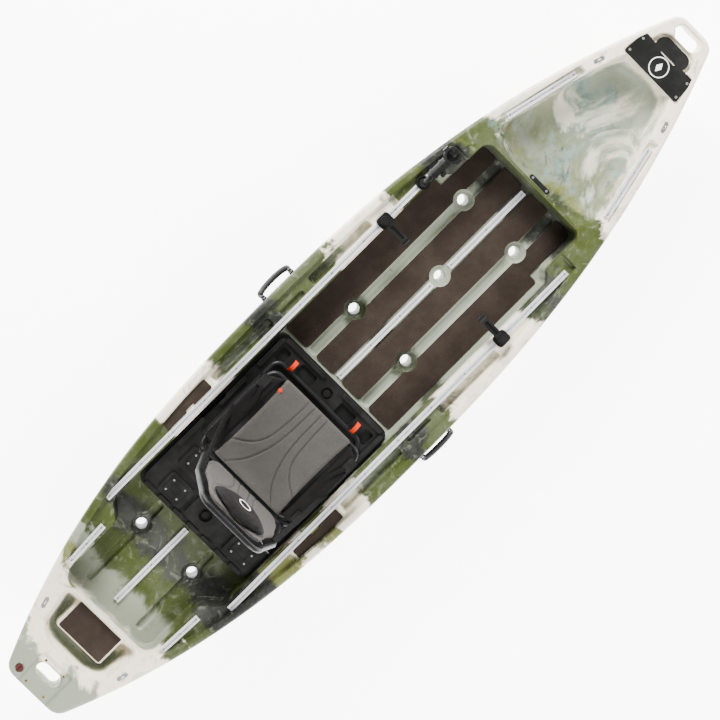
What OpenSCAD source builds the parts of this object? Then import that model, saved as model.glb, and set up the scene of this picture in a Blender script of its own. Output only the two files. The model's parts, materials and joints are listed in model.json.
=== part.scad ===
/* [Hull] */
// Overall length of the hull, bow to stern
length = 3700; // [3100:10:4300]
// Overall beam of the hull at its widest
beam = 886; // [840:2:980]
// Where the widest place lies, measured from the middle towards the bow
widest_x = -100; // [-200:10:0]
// Width of the transom before its corners are rounded
stern_w = 274; // [240:2:320]
// Width of the bow end before its corners are rounded
bow_w = 178; // [160:2:220]
// Height of the gunwale at the widest place
gunwale_z = 330; // [315:1:360]
// How much higher the gunwale is at the stern
stern_sheer = 22; // [10:1:40]
// How much higher the gunwale is at the bow
bow_sheer = 80; // [50:1:110]
// How far the keel rises at the stern
stern_rise = 140; // [80:1:160]
// How far the keel rises at the bow
bow_rise = 225; // [150:1:240]
// Corner radius at both ends, seen from above
corner_r = 36; // [25:1:45]
// Rounding of the gunwale's outer edge
edge_r = 16; // [10:1:20]
// Thickness of the moulded skin
skin = 5; // [4:0.5:8]
// Width of the rounded rim outside the side deck
rim_w = 36; // [30:1:44]

/* [Deck] */
// Height of the open deck's floor
floor_z = 186; // [170:1:196]
// Height of the side deck that carries the tracks
ledge_z = 312; // [304:1:320]
// Half width of the open deck between its side walls
tub_half = 304; // [290:1:312]
// Half width of the narrower rear deck
rear_half = 233; // [220:1:245]
// Front end of the open deck
tub_front = 960; // [900:5:1000]
// Rear end of the open deck
tub_rear = -1432; // [-1460:2:-1400]
// Depth of the drain channels in the deck
channel_d = 14; // [8:1:18]
// Bore of the scuppers
scupper_d = 46; // [36:1:48]
// Outer width of the shallow ring round each scupper
scupper_ring_d = 80; // [70:1:90]
// Thickness of the foam deck mats
mat_t = 5; // [3:0.5:8]

/* [Tracks] */
// Width of the gear track
track_w = 25; // [22:0.5:30]
// Height of the gear track
track_h = 10; // [9:0.5:14]
// Width of the slot in the top of the track
slot_w = 9; // [7:0.5:10]
// Width of the wider channel under the slot
tee_w = 17; // [15:0.5:19]
// Distance of the side tracks from the centre line
side_track_y = 330; // [326:1:336]

/* [Seat] */
// Rear face of the seat box
box_rear = -955; // [-980:1:-930]
// Front face of the seat box
box_front = -132; // [-160:1:-130]
// Half width of the seat box
box_half = 298; // [280:1:300]
// Height of the seat box above the deck
box_h = 90; // [80:1:110]
// Height of the seat's rails above the seat box
seat_h = 170; // [120:1:220]
// Wall of the seat box
box_wall = 5; // [4:0.5:8]
// Diameter of the seat's aluminium tube
tube_d = 22; // [18:1:28]
// Half width between the seat's side rails
rail_half = 236; // [225:1:250]
// Half width of the mesh sling
sling_half = 180; // [160:1:190]
// Lean of the backrest, back from upright
back_lean = 13; // [8:1:20]
// Length of the backrest from its hinge
back_len = 455; // [400:5:500]
// Clearance between pieces that move past each other
gap = 0.5; // [0.4:0.1:1]

/* [Hidden] */
$fn = 48;

// Colours of the finishes
olive = [0.42, 0.48, 0.23];
foam = [0.30, 0.27, 0.24];
bright = [0.82, 0.83, 0.84];
black = [0.12, 0.11, 0.11];
mesh_grey = [0.49, 0.47, 0.45];
orange = [1.00, 0.35, 0.10];
steel = [0.60, 0.61, 0.62];
brass = [0.70, 0.56, 0.28];
red_brown = [0.33, 0.10, 0.08];

half_len = length / 2;

// ---- Hull lines -------------------------------------------------------

// Half beam at the gunwale, falling away from the widest place as a power of the distance
function half_beam(x) = x < widest_x
  ? beam / 2 - (beam - stern_w) / 2 * pow((widest_x - x) / (widest_x + half_len), 2.61)
  : beam / 2 - (beam - bow_w) / 2 * pow((x - widest_x) / (half_len - widest_x), 2.37);

// How far a rounded corner of radius r pulls the side in, at a place d from the end
function corner_pull(d, r) = d >= r ? 0 : r - sqrt(max(0, r * r - (r - d) * (r - d)));

// Height of the gunwale
function sheer(x) = x < widest_x
  ? gunwale_z + stern_sheer * pow((widest_x - x) / (widest_x + half_len), 2)
  : gunwale_z + bow_sheer * pow((x - widest_x) / (half_len - widest_x), 2.5);

// Height of the keel, level in the middle and curving up at both ends
bow_rise_x = 0.5 * half_len;
stern_rise_x = -0.62 * half_len;
function keel(x) = x > bow_rise_x
  ? bow_rise * pow((x - bow_rise_x) / (half_len - bow_rise_x), 2.2)
    + bow_beak * ease((x - bow_slot[0] + 90) / 100)
  : x < stern_rise_x ? stern_rise * pow((stern_rise_x - x) / (half_len + stern_rise_x), 2)
    + stern_beak * ease((stern_slot[1] + 50 - x) / 90) : 0;
// Extra rise that leaves only a thick lip round each carry slot
bow_beak = 78;
stern_beak = 84;

// Half sections as [share of the half beam, share of the depth], keel to gunwale
MID_SECTION = [
  [0, 0], [0.06, 0], [0.22, 0.07], [0.40, 0.005], [0.46, 0], [0.62, 0], [0.76, 0.05],
  [0.90, 0.22], [0.965, 0.50], [1, 1]
];
END_SECTION = [
  [0, 0], [0.05, 0.01], [0.18, 0.10], [0.32, 0.20], [0.44, 0.29], [0.58, 0.40], [0.71, 0.52],
  [0.84, 0.68], [0.93, 0.84], [1, 1]
];
function ease(t) = let (s = min(1, max(0, t))) s * s * (3 - 2 * s);
function end_share(x) = x > 0
  ? ease((x / half_len - 0.32) / 0.62)
  : 0.55 * ease((-x / half_len - 0.50) / 0.50);

// One closed section, inset by t all round: starboard gunwale, keel, port gunwale
function half_section(x, xs, t) = let (
    w = end_share(x),
    b = half_beam(x) - corner_pull(half_len - abs(xs), corner_r) - t,
    z0 = keel(x) + t,
    z1 = sheer(x) - edge_r
  ) concat(
    [for (i = [0:len(MID_SECTION) - 1])
      let (p = MID_SECTION[i] * (1 - w) + END_SECTION[i] * w) [b * p[0], z0 + (z1 - z0) * p[1]]],
    [for (a = [30, 60, 90]) [b - edge_r * (1 - cos(a)), z1 + (edge_r - t) * sin(a)]]
  );
function section(x, xs, t) = let (h = half_section(x, xs, t), n = len(h)) concat(
    [for (i = [n - 1:-1:1]) [x, -h[i][0], h[i][1]]],
    [for (i = [0:n - 1]) [x, h[i][0], h[i][1]]]
  );

// Stations crowd together in the rounded corners and are even between them
station_step = 74;
corner_steps = [0, 20, 40, 60, 90];
function stations() = let (
    mid = half_len - corner_r,
    count = round(2 * mid / station_step)
  ) concat(
    [for (a = corner_steps) -half_len + corner_r * (1 - cos(a))],
    [for (i = [1:count - 1]) -mid + 2 * mid * i / count],
    [for (i = [len(corner_steps) - 1:-1:0]) half_len - corner_r * (1 - cos(corner_steps[i]))]
  );

// A closed skin through the sections, inset by t
module hull_loft(t) {
  xs = stations();
  shrink = (half_len - t) / half_len;
  rings = [for (x = xs) section(x * shrink, x, t)];
  n = len(rings[0]);
  m = len(rings);
  points = [for (r = rings) each r];
  skin_faces = [for (i = [0:m - 2]) for (j = [0:n - 1])
    let (k = (j + 1) % n, a = i * n, b = a + n) each [[a + j, b + j, a + k], [a + k, b + j, b + k]]];
  rear_face = [for (j = [0:n - 1]) j];
  front_face = [for (j = [n - 1:-1:0]) (m - 1) * n + j];
  polyhedron(points, concat(skin_faces, [rear_face], [front_face]), convexity = 6);
}

// ---- Shared shapes ----------------------------------------------------

// A flat rounded plate shape between two corners
module round_rect(x0, x1, y0, y1, r) {
  translate([x0 + r, y0]) square([x1 - x0 - 2 * r, y1 - y0]);
  translate([x0, y0 + r]) square([x1 - x0, y1 - y0 - 2 * r]);
  for (x = [x0 + r, x1 - r]) for (y = [y0 + r, y1 - r]) translate([x, y]) circle(r);
}

// A block with rounded upright corners, between two heights
module round_block(x0, x1, y0, y1, r, z0, z1) {
  translate([0, 0, z0]) linear_extrude(z1 - z0) round_rect(x0, x1, y0, y1, r);
}

// The same on both sides of the centre line
module both_sides() {
  children();
  mirror([0, 1, 0]) children();
}

// Points of an arc round a centre
function arc(cx, cy, r, a0, a1, steps = 6) =
  [for (i = [0:steps]) let (a = a0 + (a1 - a0) * i / steps) [cx + r * cos(a), cy + r * sin(a)]];

// ---- Deck outlines ----------------------------------------------------

high_z = sheer(half_len) + 60;
tub_turn_r = 42;
tub_shoulder = -1070;
front_notch_x = 724;
// The narrow front end stays inside both the hull's side and the deck's own wall
front_half = min(half_beam(tub_front) - 96, tub_half - 30);

// Open deck: narrow at the rear, full width past the shoulder, narrower again at the front
function tub_outline(g) = concat(
    arc(tub_rear + 50 - g, rear_half - 50 + g, 50, 180, 90),
    arc(tub_shoulder - 2 * tub_turn_r, rear_half + tub_turn_r + g, tub_turn_r, -90, -40),
    arc(tub_shoulder + 0.3 * tub_turn_r, tub_half - tub_turn_r + g, tub_turn_r, 140, 90),
    arc(front_notch_x, tub_half - 24 + g, 24, 90, 20),
    arc(front_notch_x + 62, front_half + 30 + g, 30, 200, 270),
    arc(tub_front - 40 + g, front_half - 40 + g, 40, 90, 0)
  );
module mirrored_outline(points) {
  n = len(points);
  polygon(concat(points, [for (i = [n - 1:-1:0]) [points[i][0], -points[i][1]]]));
}

// Side deck: the level shelf between the open deck and the rim
ledge_rear = -1405;
ledge_front = 862;
module ledge_outline() {
  mirrored_outline([for (i = [0:24])
    let (x = ledge_rear + (ledge_front - ledge_rear) * i / 24) [x, half_beam(x) - rim_w]]);
}

// Bow well: a smooth bowl that follows the bow's outline
bow_well_rear = 1006;
bow_well_front = 1600;
bow_well_mid = (bow_well_rear + bow_well_front) / 2;
bow_well_floor = 236;
bow_side = 66;
function bow_well_ring(g) = concat(
    arc(bow_well_rear + 40 - g, half_beam(bow_well_rear) - bow_side - 50 + g, 40, 180, 90, 4),
    [for (i = [1:7]) let (x = bow_well_rear + 50 + (bow_well_front - bow_well_rear - 50) * i / 8)
      [x, half_beam(x) - bow_side + g]],
    arc(bow_well_front - 30 + g, half_beam(bow_well_front) - bow_side - 30 + g, 30, 60, 0, 4)
  );
// Rings of the bowl as [share of the rim's size, share of its depth], the first far above the deck
BOWL = [[1, 2], [1, 1], [0.97, 0.60], [0.92, 0.30], [0.84, 0.10], [0.70, 0]];
function bowl_z(x, share, g) = share > 1
  ? high_z : bow_well_floor - g + (sheer(x) + 10 - bow_well_floor) * share;
module bow_bowl(g) {
  rings = [for (s = BOWL) let (
      h = [for (p = bow_well_ring(g)) [bow_well_mid + (p[0] - bow_well_mid) * s[0], p[1] * s[0]]],
      n = len(h)
    ) concat(
      [for (p = h) [p[0], p[1], bowl_z(p[0], s[1], g)]],
      [for (i = [n - 1:-1:0]) [h[i][0], -h[i][1], bowl_z(h[i][0], s[1], g)]]
    )];
  n = len(rings[0]);
  m = len(rings);
  sides = [for (i = [0:m - 2]) for (j = [0:n - 1])
    let (k = (j + 1) % n, a = i * n, b = a + n) each [[a + j, b + j, a + k], [a + k, b + j, b + k]]];
  polyhedron([for (r = rings) each r],
    concat(sides, [[for (j = [0:n - 1]) j]], [[for (j = [n - 1:-1:0]) (m - 1) * n + j]]), convexity = 4);
}

// Stern well: round at the back, with a raised box in its front half
stern_well_front = -1441;
stern_well_rear = -1662;
stern_well_half = 193;
stern_well_floor = 236;
stern_box_half = 121;
stern_box_rear = -1592;
stern_box_top = 306;
function stern_well_ring(g) = concat(
    arc(stern_well_rear + 120 - g, 66 + g, 120, 180, 118, 5),
    arc(stern_well_front - 36 + g, stern_well_half - 36 + g, 36, 90, 0, 5),
    [[stern_well_front + g, stern_box_half - g], [stern_box_rear + g, stern_box_half - g]]
  );

// Carry slots and the plates round them
bow_slot = [1768, 1827, 63];
stern_slot = [-1782, -1724, 59];
slot_wall = 7;
module slot_shape(s, g) {
  r = (s[1] - s[0]) / 2 + g;
  translate([(s[0] + s[1]) / 2, 0]) for (y = [-1, 1]) translate([0, y * (s[2] + g - r)]) circle(r);
  translate([s[0] - g, -(s[2] + g - r)]) square([s[1] - s[0] + 2 * g, 2 * (s[2] + g - r)]);
}

// Scuppers: four at the sides of the forward deck, one on its centre line, two in the rear deck
channel_y = 148;
rear_channel_y = 142;
SCUPPERS = [
  [126, channel_y], [126, -channel_y], [741, channel_y], [741, -channel_y], [460, 0],
  [-1082, rear_channel_y], [-1082, -rear_channel_y]
];
scupper_wall = 6;
scupper_seat = 6;
scupper_foot = 24;

// Threaded inserts round the stern carry slot
insert_x = [-1829, -1716];
insert_y = 47.5;
insert_bore = 6.6;
insert_d = 12;
insert_len = 16;
stern_panel_z = sheer(-1770) - 10;

// Drain hole at the port corner of the stern
drain_x = -1808;
drain_y = 104;
drain_d = 22;
drain_z = sheer(drain_x) - 8;

// ---- Hull -------------------------------------------------------------

// Everything that the deck mould presses into the hull; g grows it into the wall behind
module deck_recesses(g) {
  translate([0, 0, floor_z - g]) linear_extrude(high_z) mirrored_outline(tub_outline(g));
  translate([0, 0, stern_well_floor - g]) linear_extrude(high_z)
    mirrored_outline(stern_well_ring(g));
  round_block(stern_box_rear - 1, stern_well_front + g, -stern_box_half - 1, stern_box_half + 1, 2,
    stern_box_top - g, high_z);
  bow_bowl(g);
  // channels along the deck
  for (y = [-channel_y, channel_y])
    round_block(-120 - g, 944 + g, y - 20 - g, y + 20 + g, 19 + g, floor_z - channel_d - g, floor_z + 1);
  for (y = [-rear_channel_y, rear_channel_y])
    round_block(-1392 - g, -966 + g, y - 15 - g, y + 15 + g, 14 + g, floor_z - channel_d - g, floor_z + 1);
  both_sides() {
    // storage pockets in the gunwale
    round_block(-468 - g, -144 + g, 346 - g, 384 + g, 12 + g, ledge_z - 30 - g, high_z);
    round_block(-97 - g, 30 + g, 346 - g, 368 + g, 10 + g, ledge_z - 16 - g, high_z);
    round_block(77 - g, 409 + g, 346 - g, 386 + g, 12 + g, ledge_z - 30 - g, high_z);
    // level seats for the bow tracks
    translate([bow_track_x, bow_track_y]) rotate(bow_track_turn)
      round_block(-60 - g, bow_track_len + 30 + g, -19 - g, 19 + g, 8 + g, bow_track_z - g, high_z);
  }
}

module hull() {
  color(olive) difference() {
    hull_loft(0);
    deck_recesses(0);
    // side deck shelf
    translate([0, 0, ledge_z]) linear_extrude(high_z) ledge_outline();
    // shallow panels at the two carry slots
    round_block(-half_len - 20, -1696, -80, 80, 14, stern_panel_z, high_z);
    round_block(bow_plate_rear - 4, 1768, -98, 98, 60, bow_recess_z, high_z);
    plate_seat();
    strap_seat();
    eye_seat();
    // carry slots
    for (s = [bow_slot, stern_slot]) translate([0, 0, -10]) linear_extrude(high_z) slot_shape(s, 0);
    // scuppers with a shallow ring above and a flat foot below
    for (p = SCUPPERS) translate([p[0], p[1], 0]) {
      translate([0, 0, -10]) cylinder(h = high_z, d = scupper_d);
      translate([0, 0, scupper_top(p)]) cylinder(h = 60, d = scupper_ring_d);
      translate([0, 0, -10]) cylinder(h = 10 + scupper_foot, d = scupper_ring_d);
    }
    // drain hole and its flat seat
    translate([drain_x, drain_y, drain_z]) cylinder(h = 60, d = 34);
    translate([drain_x, drain_y, drain_z - 40]) cylinder(h = 60, d = drain_d);
    // holes for the stern inserts
    for (x = insert_x) for (y = [-insert_y, insert_y])
      translate([x, y, stern_panel_z - insert_len - 4]) cylinder(h = 40, d = insert_d);
    hull_cavity();
  }
}
function scupper_top(p) = floor_z - (abs(p[1]) > 1 ? channel_d : 0) - scupper_seat;

// The hollow inside: the inner skin less the wall behind every recess
module hull_cavity() {
  difference() {
    hull_loft(skin);
    deck_recesses(skin);
    translate([0, 0, ledge_z - skin]) linear_extrude(high_z) ledge_outline();
    round_block(-half_len - 20, -1696 + skin, -86, 86, 14, stern_panel_z - skin, high_z);
    round_block(bow_plate_rear - 10, 1774, -104, 104, 62, bow_recess_z - skin, high_z);
    for (s = [bow_slot, stern_slot])
      translate([0, 0, -10]) linear_extrude(high_z) slot_shape(s, slot_wall);
    for (p = SCUPPERS) translate([p[0], p[1], -10]) {
      cylinder(h = high_z, d = scupper_d + 2 * scupper_wall);
      cylinder(h = 10 + scupper_foot + skin, d = scupper_ring_d + 2 * skin);
      cylinder(h = scupper_top(p) + 10, d = scupper_d + 2 * scupper_wall);
    }
    for (p = SCUPPERS) translate([p[0], p[1], scupper_top(p) - skin])
      cylinder(h = 80, d = scupper_ring_d + 2 * skin);
    for (x = insert_x) for (y = [-insert_y, insert_y])
      translate([x, y, stern_panel_z - insert_len - 10]) cylinder(h = 60, d = insert_d + 10);
  }
}

// ---- Foam mats --------------------------------------------------------

mat_front = 950;
mat_rear = -120;
mat_gap = 22;
mat_channel = 24;

module inner_mat() {
  difference() {
    round_block(mat_rear, mat_front, mat_gap, channel_y - mat_channel, 12, floor_z, floor_z + mat_t);
    translate([460, 0, floor_z - 1]) cylinder(h = mat_t + 2, d = scupper_ring_d + 8);
    for (x = [126, 741]) translate([x, channel_y, floor_z - 1])
      cylinder(h = mat_t + 2, d = scupper_ring_d + 8);
  }
}
module outer_mat() {
  step_x = front_notch_x - 6;
  difference() {
    union() {
      round_block(mat_rear, step_x, channel_y + mat_channel, tub_half - 10, 14, floor_z, floor_z + mat_t);
      round_block(step_x - 60, mat_front, channel_y + mat_channel, front_half - 10, 14,
        floor_z, floor_z + mat_t);
    }
    for (x = [126, 741]) translate([x, channel_y, floor_z - 1])
      cylinder(h = mat_t + 2, d = scupper_ring_d + 8);
  }
}
module deck_mat_inner_port() { color(foam) inner_mat(); }
module deck_mat_inner_starboard() { color(foam) mirror([0, 1, 0]) inner_mat(); }
module deck_mat_outer_port() { color(foam) outer_mat(); }
module deck_mat_outer_starboard() { color(foam) mirror([0, 1, 0]) outer_mat(); }

stern_mat_t = 10;
module stern_mat() {
  color(foam) round_block(stern_box_rear + 8, stern_well_front - 9, 11 - stern_box_half,
    stern_box_half - 11, 6, stern_box_top, stern_box_top + stern_mat_t);
}

gunwale_mat_in = side_track_y + track_w / 2 + 3;
module gunwale_mat() {
  difference() {
    round_block(-730, -490, gunwale_mat_in, 392, 6, ledge_z, ledge_z + mat_t);
    translate([-630, gunwale_mat_in - 1, ledge_z - 1]) cube([42, 9, mat_t + 2]);
  }
}
module gunwale_mat_port() { color(foam) gunwale_mat(); }
module gunwale_mat_starboard() { color(foam) mirror([0, 1, 0]) gunwale_mat(); }

// ---- Gear tracks ------------------------------------------------------

track_base = 3.2;
track_lip = 2.6;
screw_head_d = 8;
screw_head_t = 2;
screw_shank_d = 4.2;
screw_len = 16;

// Side tracks as [rear, front], then the three on the centre line
side_port = [-1092, 705];
side_starboard = [-1069, 824];
centre_aft = [-1372, -972];
centre_mid = [-112, 414];
centre_fore = [512, 932];
rear_track = [-1376, -1179];
rear_track_y = 259;
rear_track_turn = 2.5;
bow_track_x = 1084;
bow_track_len = 320;
// The bow tracks follow the gunwale: inset from it, and turned with it along their length
bow_track_inset = 53.49;
bow_track_y = half_beam(bow_track_x) - bow_track_inset;
bow_track_run = 312;
bow_track_turn = -atan2(
  half_beam(bow_track_x) - half_beam(bow_track_x + bow_track_run) - 9.38, bow_track_run);
bow_track_z = sheer(bow_track_x) - 6;

// Places of the screws along a track, an even number of steps between its ends
function screw_places(len, pitch) = let (n = max(1, round((len - 24) / pitch)))
  [for (i = [0:n]) 12 + (len - 24) * i / n];
side_pitch = 186;

// One length of T-slot track, running along +X from the origin
module track(len, pitch) {
  difference() {
    rotate([90, 0, 90]) linear_extrude(len) polygon([
      [-track_w / 2, 0], [track_w / 2, 0], [track_w / 2, track_h], [slot_w / 2, track_h],
      [slot_w / 2, track_h - track_lip], [tee_w / 2, track_h - track_lip],
      [tee_w / 2, track_base], [-tee_w / 2, track_base], [-tee_w / 2, track_h - track_lip],
      [-slot_w / 2, track_h - track_lip], [-slot_w / 2, track_h], [-track_w / 2, track_h]
    ]);
    for (x = screw_places(len, pitch)) translate([x, 0, 0]) {
      translate([0, 0, track_base - screw_head_t]) cylinder(h = track_h, d = screw_head_d + 0.4);
      translate([0, 0, -1]) cylinder(h = track_h, d = screw_shank_d + 0.4);
    }
  }
}
// The screws of one length, heads level with the track's base
module screws_along(len, pitch) {
  for (x = screw_places(len, pitch)) translate([x, 0, 0]) {
    translate([0, 0, track_base - screw_head_t]) cylinder(h = screw_head_t, d = screw_head_d);
    translate([0, 0, -screw_len]) cylinder(h = screw_len + track_base - 0.5, d = screw_shank_d);
  }
}
function span(t) = t[1] - t[0];
module side_track_port() {
  color(bright) translate([side_port[0], side_track_y, ledge_z]) track(span(side_port), side_pitch);
}
module side_track_starboard() {
  color(bright) translate([side_starboard[0], -side_track_y, ledge_z])
    track(span(side_starboard), side_pitch);
}
module centre_track(t) {
  color(bright) translate([t[0], 0, floor_z]) track(span(t), side_pitch);
}
module centre_track_aft() { centre_track(centre_aft); }
module centre_track_mid() { centre_track(centre_mid); }
module centre_track_fore() { centre_track(centre_fore); }
module on_rear() {
  translate([rear_track[0], rear_track_y - 4, ledge_z]) rotate(rear_track_turn) children();
}
module on_bow() {
  translate([bow_track_x, bow_track_y, bow_track_z]) rotate(bow_track_turn) children();
}
module rear_track_port() { color(bright) on_rear() track(span(rear_track), 90); }
module rear_track_starboard() { color(bright) mirror([0, 1, 0]) on_rear() track(span(rear_track), 90); }
module bow_track_port() { color(bright) on_bow() track(bow_track_len, 100); }
module bow_track_starboard() { color(bright) mirror([0, 1, 0]) on_bow() track(bow_track_len, 100); }
module track_screws() {
  color(steel) {
    translate([side_port[0], side_track_y, ledge_z]) screws_along(span(side_port), side_pitch);
    translate([side_starboard[0], -side_track_y, ledge_z])
      screws_along(span(side_starboard), side_pitch);
    for (t = [centre_aft, centre_mid, centre_fore])
      translate([t[0], 0, floor_z]) screws_along(span(t), side_pitch);
    both_sides() {
      on_rear() screws_along(span(rear_track), 90);
      on_bow() screws_along(bow_track_len, 100);
    }
  }
}

// ---- Bow fittings -----------------------------------------------------

bow_plate_rear = 1590;
bow_plate_front = 1700;
bow_plate_half = 146;
bow_plate_taper = 10;
bow_plate_t = 5;
bow_plate_z = sheer(1640) - 4;
bow_recess_z = bow_plate_z - 14;
lobe_front = 1752;
lobe_half = 79;
badge_x = 1641;
badge_r = 42;

// Level seat for the plate
module plate_seat() {
  round_block(bow_plate_rear - 2, bow_plate_front + 3, -bow_plate_half - 3, bow_plate_half + 3, 8,
    bow_plate_z, high_z);
}
module plate_outline() {
  mirrored_outline(concat(
    arc(bow_plate_rear + 8, bow_plate_half - 8, 8, 180, 90),
    arc(bow_plate_front - 8, bow_plate_half - bow_plate_taper - 8, 8, 85, 0)
  ));
  round_rect(bow_plate_front - 20, lobe_front, -lobe_half, lobe_half, 34);
}
PLATE_SCREWS = [[1608, 132], [1608, -132], [1676, 125], [1676, -125]];
module bow_plate() {
  color(black) difference() {
    translate([0, 0, bow_plate_z]) linear_extrude(bow_plate_t) plate_outline();
    round_block(1687, 1694, -40, 40, 3, bow_plate_z - 1, bow_plate_z + bow_plate_t + 1);
    for (p = PLATE_SCREWS) translate([p[0], p[1], bow_plate_z - 1]) cylinder(h = 8, d = 5.4);
  }
}
module pan_screw(shank, head_d, depth) {
  cylinder(h = 2.4, d = head_d);
  translate([0, 0, -depth]) cylinder(h = depth + 1, d = shank);
}
module bow_plate_screws() {
  color(steel) for (p = PLATE_SCREWS)
    translate([p[0], p[1], bow_plate_z + bow_plate_t]) pan_screw(5, 11, bow_plate_t + 14);
}
// A plain ring round a lozenge, laid on the plate
module bow_badge() {
  color(bright) translate([badge_x, 0, bow_plate_z + bow_plate_t]) {
    difference() {
      cylinder(h = 1.2, r = badge_r);
      translate([0, 0, -1]) cylinder(h = 4, r = badge_r - 4);
    }
    linear_extrude(1.2) polygon([[-22, 0], [0, -13], [22, 0], [0, 13]]);
  }
}

strap_x = 988;
strap_z = sheer(strap_x) - 6;
module strap_seat() {
  round_block(strap_x - 14, strap_x + 14, -56, 56, 12, strap_z, high_z);
}
module bulkhead_strap() {
  color(black) difference() {
    round_block(strap_x - 10, strap_x + 10, -52, 52, 9, strap_z, strap_z + 6);
    for (y = [-38, 38]) translate([strap_x, y, strap_z - 1]) cylinder(h = 9, d = 5.4);
  }
}
module bulkhead_screws() {
  color(steel) for (y = [-38, 38])
    translate([strap_x, y, strap_z + 6]) pan_screw(5, 10, 6 + 14);
}

// ---- Stern fittings and pad eyes --------------------------------------

plug_shank_d = drain_d - 0.1;
module drain_plug() {
  color(red_brown) translate([drain_x, drain_y, drain_z]) {
    translate([0, 0, -18]) cylinder(h = 19, d = plug_shank_d);
    difference() {
      translate([0, 0, 0.3]) cylinder(h = 7, d = 30);
      translate([-11, -2, 4]) cube([22, 4, 5]);
    }
  }
}
module stern_inserts() {
  color(brass) for (x = insert_x) for (y = [-insert_y, insert_y])
    translate([x, y, stern_panel_z - insert_len]) difference() {
      cylinder(h = insert_len, d = insert_d);
      translate([0, 0, -1]) cylinder(h = insert_len + 2, d = insert_bore);
    }
}

// Each eye's place along the hull, its inset from the gunwale and its turn
EYE_ROWS = [[-1554, 40.34, -14], [1495, 36.13, -17]];
EYES = [for (r = EYE_ROWS) [r[0], half_beam(r[0]) - r[1], r[2]]];
eye_base_t = 4;
function eye_z(p) = sheer(p[0]) - 5;
module at_eyes() {
  both_sides() for (p = EYES) translate([p[0], p[1], eye_z(p)]) rotate(p[2] * sign(p[0]))
    children();
}
module eye_seat() {
  at_eyes() round_block(-28, 28, -11, 11, 10, 0, 60);
}
module pad_eyes() {
  color(black) at_eyes() {
    difference() {
      round_block(-24, 24, -8, 8, 7, 0, eye_base_t);
      for (x = [-17, 17]) translate([x, 0, -1]) cylinder(h = 8, d = 4.6);
    }
    translate([0, 0, eye_base_t]) rotate([90, 0, 0]) rotate_extrude(angle = 180)
      translate([7, 0]) circle(2.5);
  }
}
module pad_eye_screws() {
  color(steel) at_eyes() for (x = [-17, 17])
    translate([x, 0, eye_base_t]) pan_screw(4.2, 8, eye_base_t + 14);
}

// ---- Side carry handles -----------------------------------------------

handle_x = -24;
handle_span = 150;
handle_reach = 50;
handle_drop = 52;
grip_r = 9;
handle_pin_d = 8;
handle_z = ledge_z - 24;
handle_y = beam / 2 + 8;
bracket_w = 18;

// Axis of the handle's pins, with +Y pointing outboard
module at_handle() {
  translate([handle_x, handle_y, handle_z]) children();
}
module bracket() {
  difference() {
    union() {
      rotate([0, 90, 0]) translate([0, 0, -bracket_w / 2]) cylinder(h = bracket_w, r = 10);
      translate([-bracket_w / 2, -10, -10]) cube([bracket_w, 10, 20]);
      translate([-bracket_w / 2 - 2, -12, -22]) cube([bracket_w + 4, 9, 44]);
    }
    rotate([0, 90, 0]) translate([0, 0, -bracket_w]) cylinder(h = 2 * bracket_w, d = handle_pin_d);
    for (z = [-16, 16]) translate([0, 1, z]) rotate([90, 0, 0]) cylinder(h = 40, d = 4.2);
  }
}
module handle_brackets() {
  color(black) both_sides() at_handle() for (s = [-1, 1])
    translate([s * handle_span / 2, 0, 0]) bracket();
}
module handle_bracket_screws() {
  color(steel) both_sides() at_handle() for (s = [-1, 1]) for (z = [-16, 16])
    translate([s * handle_span / 2, -3, z]) rotate([-90, 0, 0]) pan_screw(4.2, 9, 26);
}
// A stiff webbing loop with a moulded grip, hanging from two pins
module side_handle() {
  at_handle() rotate([-handle_drop, 0, 0]) {
    pin_end = handle_span / 2 + bracket_w / 2 + 4;
    for (s = [-1, 1]) {
      translate([s > 0 ? handle_span / 2 - 18 : -pin_end, 0, 0]) rotate([0, 90, 0])
        cylinder(h = pin_end - handle_span / 2 + 18, d = handle_pin_d - 0.1);
      translate([s * (handle_span / 2 - 18), 0, 0]) rotate([0, 90, 0])
        translate([0, 0, -4]) cylinder(h = 8, r = 8);
      translate([s * (handle_span / 2 - 18) - 4, 0, -4]) cube([8, handle_reach - 12, 8]);
    }
    translate([-handle_span / 2 + 14, handle_reach - 10, 0]) rotate([0, 90, 0])
      cylinder(h = handle_span - 28, r = grip_r);
  }
}
module side_handle_port() { color(black) side_handle(); }
module side_handle_starboard() { color(black) mirror([0, 1, 0]) side_handle(); }

// ---- Track-mounted rod rests ------------------------------------------

rest_x = 454;
rest_base_h = 26;
rest_arm_h = 22;
rest_reach = 126;
rest_pin_d = 16;
tee_clear = 0.4;
rest_z = ledge_z + track_h + gap;

// The part of a fitting that runs inside a side track, and its neck up through the slot
module tee_foot(len) {
  translate([-len / 2, -tee_w / 2 + tee_clear, ledge_z + track_base + tee_clear])
    cube([len, tee_w - 2 * tee_clear, track_h - track_lip - track_base - 2 * tee_clear]);
  translate([-len / 2, -slot_w / 2 + tee_clear, ledge_z + track_base + tee_clear + 1])
    cube([len, slot_w - 2 * tee_clear, track_h]);
}
module rest_base() {
  translate([rest_x, side_track_y, 0]) {
    tee_foot(40);
    difference() {
      round_block(-31, 31, -26, 26, 14, rest_z, rest_z + rest_base_h);
      round_block(-40, -24, -16, 16, 7, rest_z + 14, rest_z + 60);
      round_block(24, 40, -16, 16, 7, rest_z + 14, rest_z + 60);
    }
    translate([0, 0, rest_z + rest_base_h - 1]) cylinder(h = rest_arm_h + 7, d = rest_pin_d);
    translate([0, 0, rest_z + rest_base_h + rest_arm_h + 2 * gap]) cylinder(h = 6, d = 30);
  }
}
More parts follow.
